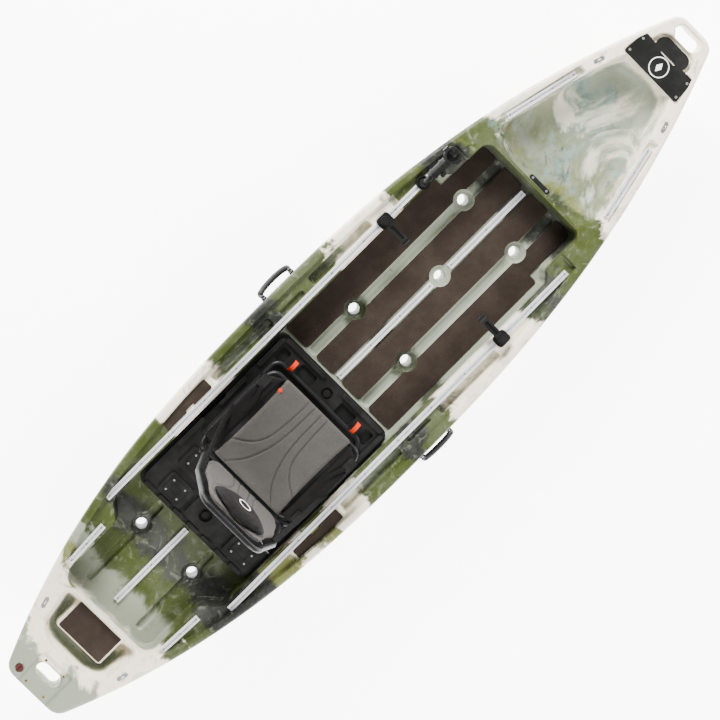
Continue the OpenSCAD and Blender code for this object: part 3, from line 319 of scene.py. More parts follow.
def deck_height(x, y):
    """Height of the deck's moulded surface, in millimetres."""
    z = sheer(x) + 0 * y
    ay = np.abs(y)
    def sink(z, gap, depth_z, start, end, share=0.35):
        s = press(gap, start, end, share)
        return z * (1 - s) + depth_z * s
    # bow well, a smooth bowl round its middle
    ring = np.array(bow_ring + [(px, -py) for px, py in reversed(bow_ring)])
    turn = np.arctan2(ring[:, 1], ring[:, 0] - 1303)
    reach = np.hypot(ring[:, 0] - 1303, ring[:, 1])
    order = np.argsort(turn)
    here = np.arctan2(y, x - 1303)
    s = np.hypot(x - 1303, y) / np.interp(here, turn[order], reach[order], period=2 * math.pi)
    share = np.interp(s, [0, .60, .70, .78, .84, .89, .93, .96, .985, 1.0, 1.02, 1.04],
                      [0, 0, .015, .06, .13, .25, .42, .62, .83, .93, .985, 1])
    z = np.where((x > 980) & (x < 1640), 236 + (z - 236) * share, z)
    # side deck shelf
    gap = np.minimum(half_beam(x) - RIM_W - ay, np.minimum(x + 1405, 862 - x))
    z = sink(z, gap, LEDGE_Z, -3, 7, 0.45)
    # stern: well, raised box and carry panel
    in_well = outline_gap(x, y, stern_well)
    scoop = press(np.minimum(in_well, np.where(x > -1500, in_well * 3, in_well)), -6, 46, 0.45)
    box = press(block_gap(x, y, -1592, -1300, -121, 121, 16), -10, 5)
    bowl = z * (1 - scoop) + 240 * scoop
    with_box = np.minimum(z, np.maximum(bowl, bowl * (1 - box) + 306 * box))
    z = np.where(in_well > -7, np.where(box > 0, with_box, bowl), z)
    z = sink(z, block_gap(x, y, -1900, -1696, -80, 80, 14), float(sheer(-1770)) - 10, -4, 5)
    # open deck with its channels and scupper seats
    z = sink(z, outline_gap(x, y, tub), FLOOR_Z, -6, 9, 0.4)
    for side in (148, -148):
        z = sink(z, block_gap(x, y, -120, 944, side - 20, side + 20, 19), FLOOR_Z - 14, -4, 6)
    for side in (142, -142):
        z = sink(z, block_gap(x, y, -1392, -966, side - 15, side + 15, 14), FLOOR_Z - 14, -3, 6)
    for sx, sy in SCUPPERS:
        seat = FLOOR_Z - 6 - (14 if sy else 0)
        z = sink(z, 40 - np.hypot(x - sx, y - sy), seat, -3, 4)
    # pockets in the shelf
    z = sink(z, block_gap(x, ay, -468, -144, 346, 384, 12), LEDGE_Z - 30, -3, 7)
    z = sink(z, block_gap(x, ay, -97, 30, 346, 368, 10), LEDGE_Z - 16, -3, 6)
    z = sink(z, block_gap(x, ay, 77, 409, 346, 386, 12), LEDGE_Z - 30, -3, 7)
    # level seats for the bow tracks
    u, v = turned(x, ay, 1084, 281, -math.degrees(math.atan2(71, 312)))
    z = sink(z, block_gap(u, v, -60, 350, -19, 19, 8), float(sheer(1084)) - 6, -3, 3)
    # bow: plate seat and the moat round its lobe
    z = sink(z, block_gap(x, y, 1590, 1766, -96, 96, 58), PLATE_Z - 14, -5, 5)
    z = np.where(x < 1704, sink(z, outline_gap(x, y, plate_outline), PLATE_Z - 0.6, -2, 1.5), z)
    for ex, ey in EYES:
        z = sink(z, 24 - np.hypot(x - ex, y - ey), float(sheer(ex)) - 4, -3, 2)
    # drain seat at the port corner
    z = sink(z, 17 - np.hypot(x + 1808, y - 104), float(sheer(-1808)) - 8, -3, 1)
    return z


# %% [markdown]
# ### From sections to a skin
# Stations stand close together where a wall runs across the boat, and the points of each section
# are shared out by length of surface, so steep walls get as many as level floors. The rings are
# closed under the keel, and the two ends are rounded and capped.

# %% Stations along the hull
walls = [-1662, -1592, -1441, -1432, -1405, -1390, -1696, -970, -468, -144, -120, -97, 30, 77, 409, 724, 786,
         862, 944, 960, 1006, 1590, 1600, 1702, 1752, 1768]
fine = np.arange(-1849, 1850, 1.0)
need = np.full(fine.shape, 1 / 8.0)
for wall in walls:
    need = np.maximum(need, 1 / 3.4 * (np.abs(fine - wall) < 16))
need = np.maximum(need, 1 / 5.0 * (np.abs(fine) > 1800))
need = np.convolve(np.pad(need, 6, mode="edge"), np.ones(13) / 13, "valid")
count = int(need.sum())
sums = np.concatenate([[0], np.cumsum(need)])
middle = np.interp(np.linspace(0, sums[-1], count), sums, np.arange(-1849.5, 1850, 1.0))
tips = HALF_LEN - EDGE_R * (1 - np.cos(np.radians([0, 18, 36, 54, 72, 88])))
stations = np.concatenate([-tips, middle[np.abs(middle) < 1832], tips[::-1]])
TOP, SIDE, UNDER = 196, 6, 40

# %% Rings of the closed loft
pull = corner_pull(HALF_LEN - np.abs(stations), CORNER_R)
lip = corner_pull(HALF_LEN - np.abs(stations), EDGE_R)
width = half_beam(stations) - pull
flat = width - EDGE_R
samples = 700
across = np.linspace(-1, 1, samples)
X, Y = np.meshgrid(stations, across, indexing="ij")
Y = Y * flat[:, None]
Z = deck_height(X, Y)
slope = np.abs(np.diff(Z, axis=1)) / (np.diff(Y, axis=1) + 1e-6)
rate = (1 + 0.9 * np.minimum(slope, 8)) * np.diff(Y, axis=1)
rate /= rate.sum(1, keepdims=True)
for _ in range(3):
    rate = np.apply_along_axis(
        lambda c: np.convolve(np.pad(c, 4, mode="edge"), np.ones(9) / 9, "valid"), 0, rate)
total = np.concatenate([np.zeros((len(stations), 1)), np.cumsum(rate, 1)], 1)
total /= total[:, -1:]
top_y = np.array([np.interp(np.linspace(0, 1, TOP), total[i], Y[i]) for i in range(len(stations))])
top_x = np.repeat(stations[:, None], TOP, 1)
top_z = np.minimum(deck_height(top_x, top_y), (sheer(stations) - lip)[:, None])

shares = np.linspace(0, 1, UNDER) ** 0.9


def smooth_section(points, at):
    """A curve through the section's points, smoothed with a short running mean."""
    p = np.array(points, float)
    dense = np.linspace(0, 1, 400)
    keys = np.concatenate([[0], np.cumsum(np.hypot(*np.diff(p, axis=0).T))])
    keys /= keys[-1]
    out = []
    for c in (p[:, 0], p[:, 1]):
        line = np.interp(dense, keys, c)
        padded = np.concatenate([2 * line[0] - line[15:0:-1], line, 2 * line[-1] - line[-2:-17:-1]])
        out.append(np.interp(at, dense, np.convolve(padded, np.ones(31) / 31, "valid")))
    return out


mid_b, mid_d = smooth_section(MID_SECTION, shares)
end_b, end_d = smooth_section(END_SECTION, shares)
w = end_share(stations)[:, None]
side_b = width[:, None] * (mid_b * (1 - w) + end_b * w)
low = (keel(stations) + lip)[:, None]
high = (sheer(stations) - lip - EDGE_R)[:, None]
side_z = low + (high - low) * (mid_d * (1 - w) + end_d * w)
# a moulded parting line runs round under the gunwale
groove = np.exp(-((side_z - (high - 26)) / 3.0) ** 2) * 1.6
side_b = side_b - groove * (side_b > 20)
roll = np.radians(np.linspace(0, 90, SIDE + 1))[1:]
roll_b = (width - EDGE_R)[:, None] + EDGE_R * np.cos(roll)
roll_z = high + EDGE_R * np.sin(roll)
edge_z = top_z[:, -1:]
roll_z = np.minimum(roll_z, np.maximum(edge_z, roll_z - 30))

ring_y = np.concatenate([top_y, roll_b[:, -2::-1], side_b[:, ::-1], -side_b[:, 1:], -roll_b[:, :-1]], 1)
ring_z = np.concatenate([top_z, roll_z[:, -2::-1], side_z[:, ::-1], side_z[:, 1:], roll_z[:, :-1]], 1)
M, N = ring_y.shape
ring_x = np.repeat(stations[:, None], N, 1)
points = np.stack([ring_x, ring_y, ring_z], -1).reshape(-1, 3) / 1000
i, j = np.meshgrid(np.arange(M - 1), np.arange(N), indexing="ij")
k = (j + 1) % N
quads = np.stack([i * N + j, i * N + k, (i + 1) * N + k, (i + 1) * N + j], -1).reshape(-1, 4)
caps = [list(range(N))[::-1], [(M - 1) * N + n for n in range(N)]]
hull_skin = mesh_object("hull_skin", points, quads.tolist() + caps)
print("hull skin:", M, "stations of", N, "points")

# %% [markdown]
# ### Holes through the hull
# Scuppers, carry slots and the drain are cut with one Boolean. Each cutter flares at its mouth,
# so the cut edge comes out rolled like a moulding and not like a drilled hole.

# %% Cutters and the cut
def lathe(profile, cx, cy, stretch=0.0, steps=40):
    """Points and faces of a turned shape; stretch pulls it out along Y into a slot."""
    pts, faces, n = [], [], steps
    for r, z in profile:
        for a in range(n):
            t = 2 * math.pi * (a + 0.5) / n
            pts.append(((cx + r * math.cos(t)) / 1000,
                        (cy + r * math.sin(t) + math.copysign(stretch, math.sin(t))) / 1000, z / 1000))
    for a in range(len(profile) - 1):
        for b in range(n):
            c = (b + 1) % n
            faces.append((a * n + b, a * n + c, (a + 1) * n + c, (a + 1) * n + b))
    faces.append(tuple(range(n))[::-1])
    faces.append(tuple(range((len(profile) - 1) * n, len(profile) * n)))
    return pts, faces


def mouth(r, z, roll, up, outward=True, steps=5):
    """A rolled mouth: the profile of a hole of radius r opening out at height z."""
    rows = [(r + roll * (1 - math.cos(math.radians(90 * i / steps))),
             z + up * roll * (math.sin(math.radians(90 * i / steps)) - 1)) for i in range(steps + 1)]
    return rows


def join_parts(name, parts):
    pts, faces = [], []
    for p, f in parts:
        base = len(pts)
        pts += p
        faces += [tuple(base + v for v in face) for face in f]
    return mesh_object(name, pts, faces)


cutters = []
for sx, sy in SCUPPERS:
    seat = FLOOR_Z - 6 - (14 if sy else 0)
    foot = [(41, -20), (40, 16), (38, 21), (34, 24), (28, 24.5), (25, 26), (23, 30)]
    top = mouth(23, seat + 0.5, 5, 1)
    cutters.append(lathe(foot + top + [(29, seat + 4)], sx, sy))
for x0, x1, hw, x_mid in ((1768, 1827, 63, 1797), (-1782, -1724, 59, -1753)):
    r = (x1 - x0) / 2
    rim = float(sheer(x_mid)) - (0 if x_mid > 0 else 12)
    low_z = float(keel(x_mid))
    cutters.append(lathe([(r + 9, low_z - 30), (r + 5, low_z - 6), (r + 1, low_z + 6), (r, low_z + 14)]
                         + mouth(r, rim + 0.3, 7, 1) + [(r + 8, rim + 25)], x_mid, 0, hw - r, 48))
drain_z = float(sheer(-1808)) - 8
drain_bore = [(11, drain_z - 40), (11, drain_z - 2), (12.5, drain_z + 0.3), (12.5, drain_z + 3)]
cutters.append(lathe(drain_bore, -1808, 104, 0, 32))
for ix in (-1829, -1716):
    for iy in (-47.5, 47.5):
        z = float(sheer(-1770)) - 10
        cutters.append(lathe([(6.2, z - 22), (6.2, z - 1), (7.4, z + 0.4), (7.4, z + 6)], ix, iy, 0, 24))
cutter = join_parts("hole_cutter", cutters)


def settle(obj):
    """Replaces an object's mesh by what its modifiers make of it."""
    bpy.context.view_layer.update()
    graph = bpy.context.evaluated_depsgraph_get()
    made = bpy.data.meshes.new_from_object(obj.evaluated_get(graph))
    obj.modifiers.clear()
    obj.data = made


def smooth_by(obj, degrees):
    """Shades a piece smooth, with creases only at edges sharper than an angle."""
    obj.data.shade_smooth()
    obj.data.set_sharp_from_angle(angle=math.radians(degrees))


cut = hull_skin.modifiers.new("holes", "BOOLEAN")
cut.operation, cut.object, cut.solver = "DIFFERENCE", cutter, "MANIFOLD"
settle(hull_skin)
bpy.data.objects.remove(cutter)
smooth_by(hull_skin, 42)
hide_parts("hull")
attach(hull_skin, "hull_assembly")
print("hull skin after the holes:", len(hull_skin.data.polygons), "faces")


# %% [markdown]
# ### Swirled hull plastic
# The moulder throws coloured powders into the mould in bands, and they melt into each other with
# soft, torn edges. A colour ramp along the boat gives the bands, and noise added to the position
# tears their edges. Each gunwale and the deck between them have a ramp of their own.

# %% Colours and bands along the boat
def paint(code):
    """The surface colour that looks like a screen colour code under this studio's light."""
    screen = [0, 41, 72, 100, 127, 162, 200, 223, 238, 255]
    light = [0, 0.02, 0.05, 0.10, 0.18, 0.40, 1.0, 2.0, 4.0, 9.0]
    seen = [float(np.interp(int(code[i:i + 2], 16), screen, light)) / 3.3 for i in (0, 2, 4)]
    grey = sum(seen) / 3
    return tuple(min(0.88, max(0.004, grey + (c - grey) * 1.25)) for c in seen)


CREAM, OLIVE, MOSS = (0.88, 0.80, 0.635), paint("68733a"), paint("47502c")
SLATE, TEAL, LEAF = paint("363932"), paint("b9bdb2"), paint("a0a376")


def bands(finish, along, rows, soft=26):
    """A ramp of colour bands; each row is where a band starts, in millimetres, and its colour."""
    stops = [(0.0, rows[0][1])]
    for (start, colour), (_, before) in zip(rows[1:], rows):
        at = (start + 1850) / 3700
        stops += [(at - soft / 3700 / 2, before), (at + soft / 3700 / 2, colour)]
    return finish.node("ValToRGB", {"stops": stops, "ease": "EASE"}, {"Fac": along})


camo = Finish("swirled_hull_plastic", Specular_IOR_Level=0.3)
torn = camo.noise(4.2, 4.0, 0.62, distortion=1.4)
fine_torn = camo.noise(15, 4.0, 0.6, distortion=0.6)
along = (camo.x + 1.85) / 3.7 + (torn - 0.5) * 0.085 + (fine_torn - 0.5) * 0.022
port_bands = bands(camo, along, [
    (-1850, TEAL), (-1700, CREAM), (-1400, LEAF), (-1330, TEAL), (-1240, OLIVE), (-1106, SLATE),
    (-1007, OLIVE),
    (-730, CREAM), (-424, OLIVE), (-227, SLATE), (-70, OLIVE), (217, CREAM), (504, OLIVE), (720, SLATE),
    (860, OLIVE), (1027, CREAM)])
starboard_bands = bands(camo, along, [
    (-1850, TEAL), (-1690, CREAM), (-1350, OLIVE), (-1170, SLATE), (-900, LEAF), (-760, CREAM), (-640, LEAF),
    (-520, CREAM), (-345, OLIVE), (-118, SLATE), (-20, OLIVE), (130, CREAM), (583, MOSS), (690, SLATE),
    (760, OLIVE), (1027, CREAM)])
calm = (camo.x + 1.85) / 3.7 + (torn - 0.5) * 0.04 + (fine_torn - 0.5) * 0.02
deck_bands = bands(camo, calm, [
    (-1850, TEAL), (-1730, CREAM), (-1660, TEAL), (-1480, CREAM), (-1440, TEAL), (-1300, OLIVE),
    (-1155, SLATE), (-1027, OLIVE), (-900, TEAL), (60, MOSS), (180, TEAL), (820, SLATE),
    (945, MOSS), (1017, LEAF), (1060, TEAL)], 46)
to_port = (camo.y + (torn - 0.5) * 0.12).ramp(-0.05, 0.05)
gunwale = camo.mix(starboard_bands, port_bands, to_port)
on_rim = (camo.z + (fine_torn - 0.5) * 0.05).ramp(0.262, 0.300)
# the flanks carry the gunwale's bands down to the keel
facing = camo.node("NewGeometry", out="Normal")
facing_y = camo.node("SeparateXYZ", {}, {0: facing}, out=1)
across = camo.y * camo.y.math("SIGN")
on_side = (across + camo.x.power(2) * 0.070).ramp(0.30, 0.34)
outward = (facing_y * camo.y.math("SIGN")).ramp(0.30, 0.75) * on_side
skin = camo.mix(deck_bands, gunwale, on_rim + (1 - on_rim) * outward)
# swirls of a second colour inside each band
swirl = camo.noise(7.5, 5.0, 0.66, distortion=2.2)
skin = camo.mix(skin, LEAF, swirl.ramp(0.58, 0.72) * 0.38)
skin = camo.mix(skin, SLATE, camo.noise(5.3, 5.0, 0.62, distortion=2.6).ramp(0.62, 0.74) * 0.5)
wisps = camo.noise(9.3, 5.0, 0.6, distortion=3.0)
skin = camo.mix(skin, TEAL, wisps.ramp(0.54, 0.68) * 0.28)
clouds = camo.noise(3.4, 6.0, 0.7, distortion=1.2)
high_rim = on_rim.least(1) * camo.z.ramp(0.33, 0.37)
in_bow = (camo.x + (clouds - 0.5) * 0.5).ramp(1.02, 1.12) * (1 - camo.x.ramp(1.45, 1.62)) * (1 - high_rim)
pool = camo.noise(2.4, 5.0, 0.62, distortion=2.4)
cool = camo.mix(paint("adbbb8"), paint("8c9c95"), wisps.ramp(0.4, 0.7))
skin = camo.mix(skin, cool, in_bow * clouds.ramp(0.42, 0.60) * 0.9)
skin = camo.mix(skin, CREAM, in_bow * pool.ramp(0.52, 0.66) * 0.55)
pool_edge = pool.ramp(0.36, 0.50) * (1 - pool.ramp(0.52, 0.60))
skin = camo.mix(skin, LEAF, in_bow * (1 - camo.x.ramp(1.10, 1.42)) * pool_edge * 0.7)
skin = camo.mix(skin, MOSS, in_bow * swirl.ramp(0.60, 0.70) * (1 - camo.x.ramp(1.1, 1.35)) * 0.7)
# the powders fade into each other, so no band is one even colour
faded = camo.mix(skin, (0.30, 0.31, 0.25), 0.5)
skin = camo.mix(skin, faded, camo.noise(2.6, 6.0, 0.75).ramp(0.42, 0.62) * 0.22)
skin = camo.mix(skin, camo.mix(skin, (0.0, 0.0, 0.0), 0.55), camo.noise(11, 6.0, 0.7).ramp(0.58, 0.74) * 0.32)
# painted shade: the outsides below the rim are darkened towards moss and slate, standing in for the shade on
# the flanks
painted_shade_below_rim = (camo.x.power(2) * 0.014 + 0.318 - camo.z).ramp(0.0, 0.05)
flank_painted_shade = camo.mix(skin, camo.mix(MOSS, SLATE, swirl.ramp(0.42, 0.58)), 0.66)
skin = camo.mix(skin, flank_painted_shade, painted_shade_below_rim * outward)
speckle = camo.noise(420, 2.0)
skin = camo.mix(skin, camo.mix((0.02, 0.025, 0.015), skin, 0.82), speckle.ramp(0.60, 0.72) * 0.5)
camo.feed("Base Color", skin)
scuffs = camo.noise(1.0, 5.0, 0.7, place=camo.stretched(3, 55, 30)).ramp(0.60, 0.78)
keel_wear = (0.05 - camo.z).ramp(0.0, 0.05)
camo.feed("Roughness", camo.noise(38, 4.0).ramp(0.3, 0.7, 0.40, 0.54) + scuffs * keel_wear * 0.2)
peel = camo.noise(520, 2.0) * 0.35 + camo.noise(22, 2.0) * 2.4 + scuffs * keel_wear * -1.2
camo.bump(peel, 0.0006, 0.55)
hull_skin.data.materials.clear()
hull_skin.data.materials.append(camo.material)

# %% [markdown]
# ### Finishes of the hard pieces
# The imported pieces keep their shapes. Each gets a small bevel, because light on a rounded edge is
# what tells the eye that a thing is real, and a finish with grain at its true size.

# %% Metals
def metal(name, colour, rough, streak, **constants):
    """A brushed or cast metal; streak stretches its grain along the three axes."""
    made = Finish(name, **{"Metallic": 1.0, **constants})
    grain = made.noise(1.0, 4.0, 0.6, place=made.stretched(*streak))
    soil = made.noise(24, 4.0, 0.6)
    made.feed("Base Color", made.mix(tuple(c * 0.9 for c in colour), colour, soil.ramp(0.3, 0.6)))
    made.feed("Roughness", grain.ramp(0.3, 0.7, rough - 0.09, rough + 0.12))
    made.bump(grain, 0.00008, 0.6)
    return made


aluminium = metal("anodised_track", (0.93, 0.93, 0.94), 0.34, (14, 900, 900), Metallic=0.55)
steel = metal("stainless_screw", (0.62, 0.62, 0.63), 0.30, (700, 700, 700))
brass = metal("insert_brass", (0.50, 0.38, 0.19), 0.42, (500, 500, 500))

# %% Moulded plastics, rubber and painted tube
def moulded(name, colour, rough, grain_size, depth, dust=0.25, **constants):
    """A moulded plastic with a textured face and a little dust in its hollows."""
    made = Finish(name, **constants)
    grain = made.noise(1 / grain_size, 2.0, 0.5)
    cloud = made.noise(11, 4.0, 0.6)
    dusty = tuple(min(1, c * 1.5 + 0.006) for c in colour)
    made.feed("Base Color", made.mix(colour, dusty, cloud.ramp(0.45, 0.75) * dust))
    made.feed("Roughness", cloud.ramp(0.3, 0.7, rough - 0.06, rough + 0.08))
    made.bump(grain, depth, 0.5)
    return made


black_plastic = moulded("moulded_black", (0.006, 0.006, 0.0055), 0.38, 0.0011, 0.00012, 0.5,
                        Specular_IOR_Level=0.22)
box_plastic = moulded("seat_box_black", (0.0062, 0.006, 0.0055), 0.40, 0.0022, 0.00025, 0.6,
                      Specular_IOR_Level=0.24)
plug_red = moulded("plug_plastic", (0.06, 0.008, 0.006), 0.38, 0.0012, 0.0001)
orange_plastic = moulded("toggle_orange", (0.52, 0.022, 0.0008), 0.35, 0.0012, 0.0001)
badge_white = moulded("badge_print", (0.80, 0.80, 0.81), 0.28, 0.0008, 0.00004)
grip = moulded("handle_rubber", (0.009, 0.009, 0.009), 0.6, 0.0009, 0.0001)
ribs = (grip.x * (2 * math.pi / 0.0065)).sin()
grip.bump(ribs.ramp(-0.2, 0.6), 0.0007, 0.7)
tube_paint = Finish("gloss_black_tube", Specular_IOR_Level=0.12, Coat_Weight=0.08, Coat_Roughness=0.3)
tube_peel = tube_paint.noise(260, 2.0)
tube_black = tube_paint.mix((0.004, 0.004, 0.0045), (0.010, 0.010, 0.0105), tube_paint.noise(9, 4.0))
tube_paint.feed("Base Color", tube_black)
tube_paint.feed("Roughness", tube_paint.noise(30, 3.0).ramp(0.3, 0.7, 0.36, 0.5))
tube_paint.bump(tube_peel, 0.00003, 0.3)

# %% Finishes and edges for the carried-over pieces
FINISH_OF = {
    "track_aluminium": aluminium, "screw_steel": steel, "insert_brass": brass, "black_plastic": black_plastic,
    "box_plastic": box_plastic, "plug_plastic": plug_red, "orange_plastic": orange_plastic,
    "badge_white": badge_white, "black_rubber": grip, "frame_tube": tube_paint}
EDGE_OF = {"track_aluminium": 0.0004, "screw_steel": 0.0004, "insert_brass": 0.0004, "black_plastic": 0.0010,
           "box_plastic": 0.0028, "plug_plastic": 0.0008, "orange_plastic": 0.0012, "badge_white": 0.0002,
           "black_rubber": 0.0010, "frame_tube": 0.0004}
for row in frame["record"]["subparts"]:
    node, slot = row["node"], row["material_slot"]
    if slot not in FINISH_OF:
        continue
    piece = cad[node]
    piece.data.materials.clear()
    piece.data.materials.append(FINISH_OF[slot].material)
    edge = piece.modifiers.new("rolled_edges", "BEVEL")
    edge.width, edge.segments, edge.limit_method = EDGE_OF[slot], 2, "ANGLE"
    edge.angle_limit, edge.harden_normals = math.radians(38), False
    smooth_by(piece, 40)
print("hard pieces dressed:", sum(r["material_slot"] in FINISH_OF for r in frame["record"]["subparts"]))


# %% [markdown]
# ### Foam mats
# The mats are closed-cell foam sheets with fine grooves milled along the boat. The imported mats
# have the right outline, so each new mat starts from that shape, with a soft edge all round and
# the grooves in its finish, where a wave across the boat lowers narrow lines and paints shade into them.

# %% Mats
foam = Finish("grooved_foam", Specular_IOR_Level=0.12)
groove_lines_and_shade = (foam.y * (2 * math.pi / 0.0085)).sin().ramp(0.72, 0.96)
cells = foam.noise(900, 2.0)
dirt = foam.noise(14, 5.0, 0.6)
foam_top = foam.mix(paint("564b42"), paint("665a50"), dirt.ramp(0.35, 0.7))
# painted shade: the grooves are darkened towards dark brown, as shade would lie in them
foam.feed("Base Color", foam.mix(foam_top, paint("2c2621"), groove_lines_and_shade * 0.75))
foam.feed("Roughness", cells.ramp(0.3, 0.7, 0.78, 0.92))
foam.bump(cells * 0.12 - groove_lines_and_shade, 0.0007, 0.8)


def recut(node, name, finish, edge, segments=3, crown=0.0):
    """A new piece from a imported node's shape, with rolled edges, standing in for that node."""
    made = cad[node].copy()
    made.data = cad[node].data.copy()
    made.parent = None
    for key in list(made.keys()):
        del made[key]
    made.name = made.data.name = name
    bpy.context.scene.collection.objects.link(made)
    made.matrix_world = Matrix.Identity(4)
    made.data.materials.clear()
    made.data.materials.append(finish.material)
    roll = made.modifiers.new("rolled_edges", "BEVEL")
    roll.width, roll.segments, roll.limit_method, roll.angle_limit = edge, segments, "ANGLE", math.radians(50)
    settle(made)
    made.data.materials.clear()
    made.data.materials.append(finish.material)
    smooth_by(made, 35)
    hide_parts(node)
    return made


for node in [n for n in cad if "_mat" in n]:
    mat = recut(node, node + "_foam", foam, 0.0016)
    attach(mat, "hull_assembly")

# %% [markdown]
# ### Seat cloth
# The sling and the back are an open-weave mesh over thin foam, sewn in curved channels. The weave
# is two waves at a right angle, and the seams are pressed into the cushion's own surface after
# the cloth has been blown up, because a remesh would wipe them out.

# %% Woven finishes
def woven(name, low, high, pitch, depth, turn=0.0, soft=0.85, **constants):
    """A two-way weave of yarns, light over dark, with a cloudy fade from use."""
    made = Finish(name, Specular_IOR_Level=0.10, **constants)
    c, s = math.cos(turn), math.sin(turn)
    u = made.x * c + made.y * s
    v = made.y * c - made.x * s + made.z * 0.7
    warp = (u * (2 * math.pi / pitch)).sin()
    weft = (v * (2 * math.pi / pitch)).sin()
    over = (warp * weft).ramp(-0.6, 0.6)
    fade = made.noise(16, 4.0, 0.6)
    base = made.mix(low, high, over * 0.7 + fade * 0.3)
    made.feed("Base Color", base)
    made.feed("Roughness", fade.ramp(0.3, 0.7, soft - 0.08, soft + 0.06))
    made.bump(over, depth, 0.6)
    return made


seat_mesh = woven("seat_mesh_weave", paint("4e4c4a"), paint("918e8b"), 0.0030, 0.0004, 0.6)
pad_cloth = woven("bolster_cloth", paint("1b1918"), paint("2e2a28"), 0.0022, 0.0002, 0.3)
strap_black = woven("black_webbing", paint("151413"), paint("2b2928"), 0.0026, 0.0003, 0.0)
strap_orange = woven("orange_webbing", (0.42, 0.016, 0.0008), (0.60, 0.034, 0.0012), 0.0026, 0.0003, 0.0)
thread = moulded("seam_thread", paint("1c1a19"), 0.7, 0.0011, 0.0001)


# %% Cushion maker
def cushion(name, points, faces, cap, voxel=0.005, pressure=4.0):
    """A padded piece: remeshed, blown up like cloth, with its swelling capped."""
    made = mesh_object(name, points, faces)
    remesh = made.modifiers.new("even_cloth", "REMESH")
    remesh.mode, remesh.voxel_size = "VOXEL", voxel
    settle(made)
    rest = np.array([v.co for v in made.data.vertices])
    cloth = made.modifiers.new("swell", "CLOTH")
    cloth.settings.quality = 4
    cloth.settings.use_pressure = True
    cloth.settings.uniform_pressure_force = pressure
    cloth.settings.effector_weights.gravity = 0
    cloth.point_cache.frame_start, cloth.point_cache.frame_end = 1, 20
    for number in range(1, 21):
        bpy.context.scene.frame_set(number)
    settle(made)
    bpy.context.scene.frame_set(1)
    now = np.array([v.co for v in made.data.vertices])
    move = now - rest
    far = np.linalg.norm(move, axis=1, keepdims=True)
    now = rest + move * np.minimum(1, cap / np.maximum(far, 1e-9))
    made.data.vertices.foreach_set("co", now.reshape(-1))
    ease_out = made.modifiers.new("ease", "SMOOTH")
    ease_out.factor, ease_out.iterations = 0.5, 4
    settle(made)
    return made


def slab(outline, low, high, crown=None, steps=1):
    """Points and faces of a flat pad with a given outline."""
    n = len(outline)
    pts = [(x, y, low(x, y)) for x, y in outline] + [(x, y, high(x, y)) for x, y in outline]
    faces = [tuple(range(n))[::-1], tuple(range(n, 2 * n))]
    faces += [(i, (i + 1) % n, n + (i + 1) % n, n + i) for i in range(n)]
    return pts, faces


# %% Seat places, in metres
BOX_TOP = 0.276
RAIL_Z = BOX_TOP + 0.170
SLING_Z = RAIL_Z + 0.011 + 0.0003
HINGE = Vector((-0.686, 0, RAIL_Z + 0.042))
LEAN = math.radians(13)
BACK_LEN, TUBE = 0.455, 0.022
EAR_Y = 0.236 - TUBE / 2 - 0.008
BACK_HALF = EAR_Y - 0.002 - TUBE / 2


def on_back(v, y, u):
    """A place on the leaning back: v out of its front, u up along it."""
    c, s = math.cos(LEAN), math.sin(LEAN)
    return Vector((HINGE.x + v * c - u * s, y, HINGE.z + v * s + u * c))


def curve_points(keys, count=40):
    """Points along a smooth Catmull-Rom curve through its keys."""
    p = [Vector(k) for k in keys]
    p = [2 * p[0] - p[1]] + p + [2 * p[-1] - p[-2]]
    out = []
    spans = len(p) - 3
    for n in range(count + 1):
        t = n / count * spans
        i = min(int(t), spans - 1)
        t -= i
        a, b, c, d = p[i:i + 4]
        square, cube = 2 * a - 5 * b + 4 * c - d, 3 * b - a - 3 * c + d
        out.append(0.5 * ((2 * b) + (c - a) * t + square * t * t + cube * t ** 3))
    return out


def press_line(points, line, depth, width):
    """Presses a sewn line into points: how far each one sinks, by its distance to the line."""
    line = np.array([tuple(p) for p in line])
    gap = np.full(len(points), 1e9)
    for a, b in zip(line[:-1], line[1:]):
        ab = b - a
        t = np.clip(((points[:, :len(a)] - a) @ ab) / (ab @ ab + 1e-12), 0, 1)
        gap = np.minimum(gap, np.linalg.norm(points[:, :len(a)] - a - t[:, None] * ab, axis=1))
    return depth * np.exp(-(gap / width) ** 2), gap


def sweep(name, path, radius, finish, sides=8, flat=1.0, up=Vector((0, 0, 1))):
    """A tube or flat strap along a path; flat squeezes it along up."""
    pts, faces = [], []
    n = len(path)
    for i, p in enumerate(path):
        run = (path[min(i + 1, n - 1)] - path[max(i - 1, 0)]).normalized()
        across = up if abs(run.dot(up)) < 0.98 else Vector((0, 1, 0))
        side = run.cross(across).normalized()
        lift = side.cross(run).normalized()
        r = radius[i] if isinstance(radius, (list, tuple)) else radius
        for a in range(sides):
            t = 2 * math.pi * a / sides
            pts.append(p + side * (r * math.cos(t)) + lift * (r * flat * math.sin(t)))
    for i in range(n - 1):
        for a in range(sides):
            b = (a + 1) % sides
            faces.append((i * sides + a, i * sides + b, (i + 1) * sides + b, (i + 1) * sides + a))
    faces += [tuple(range(sides))[::-1], tuple((n - 1) * sides + a for a in range(sides))]
    made = mesh_object(name, pts, faces, finish)
    smooth_by(made, 50)
    return made


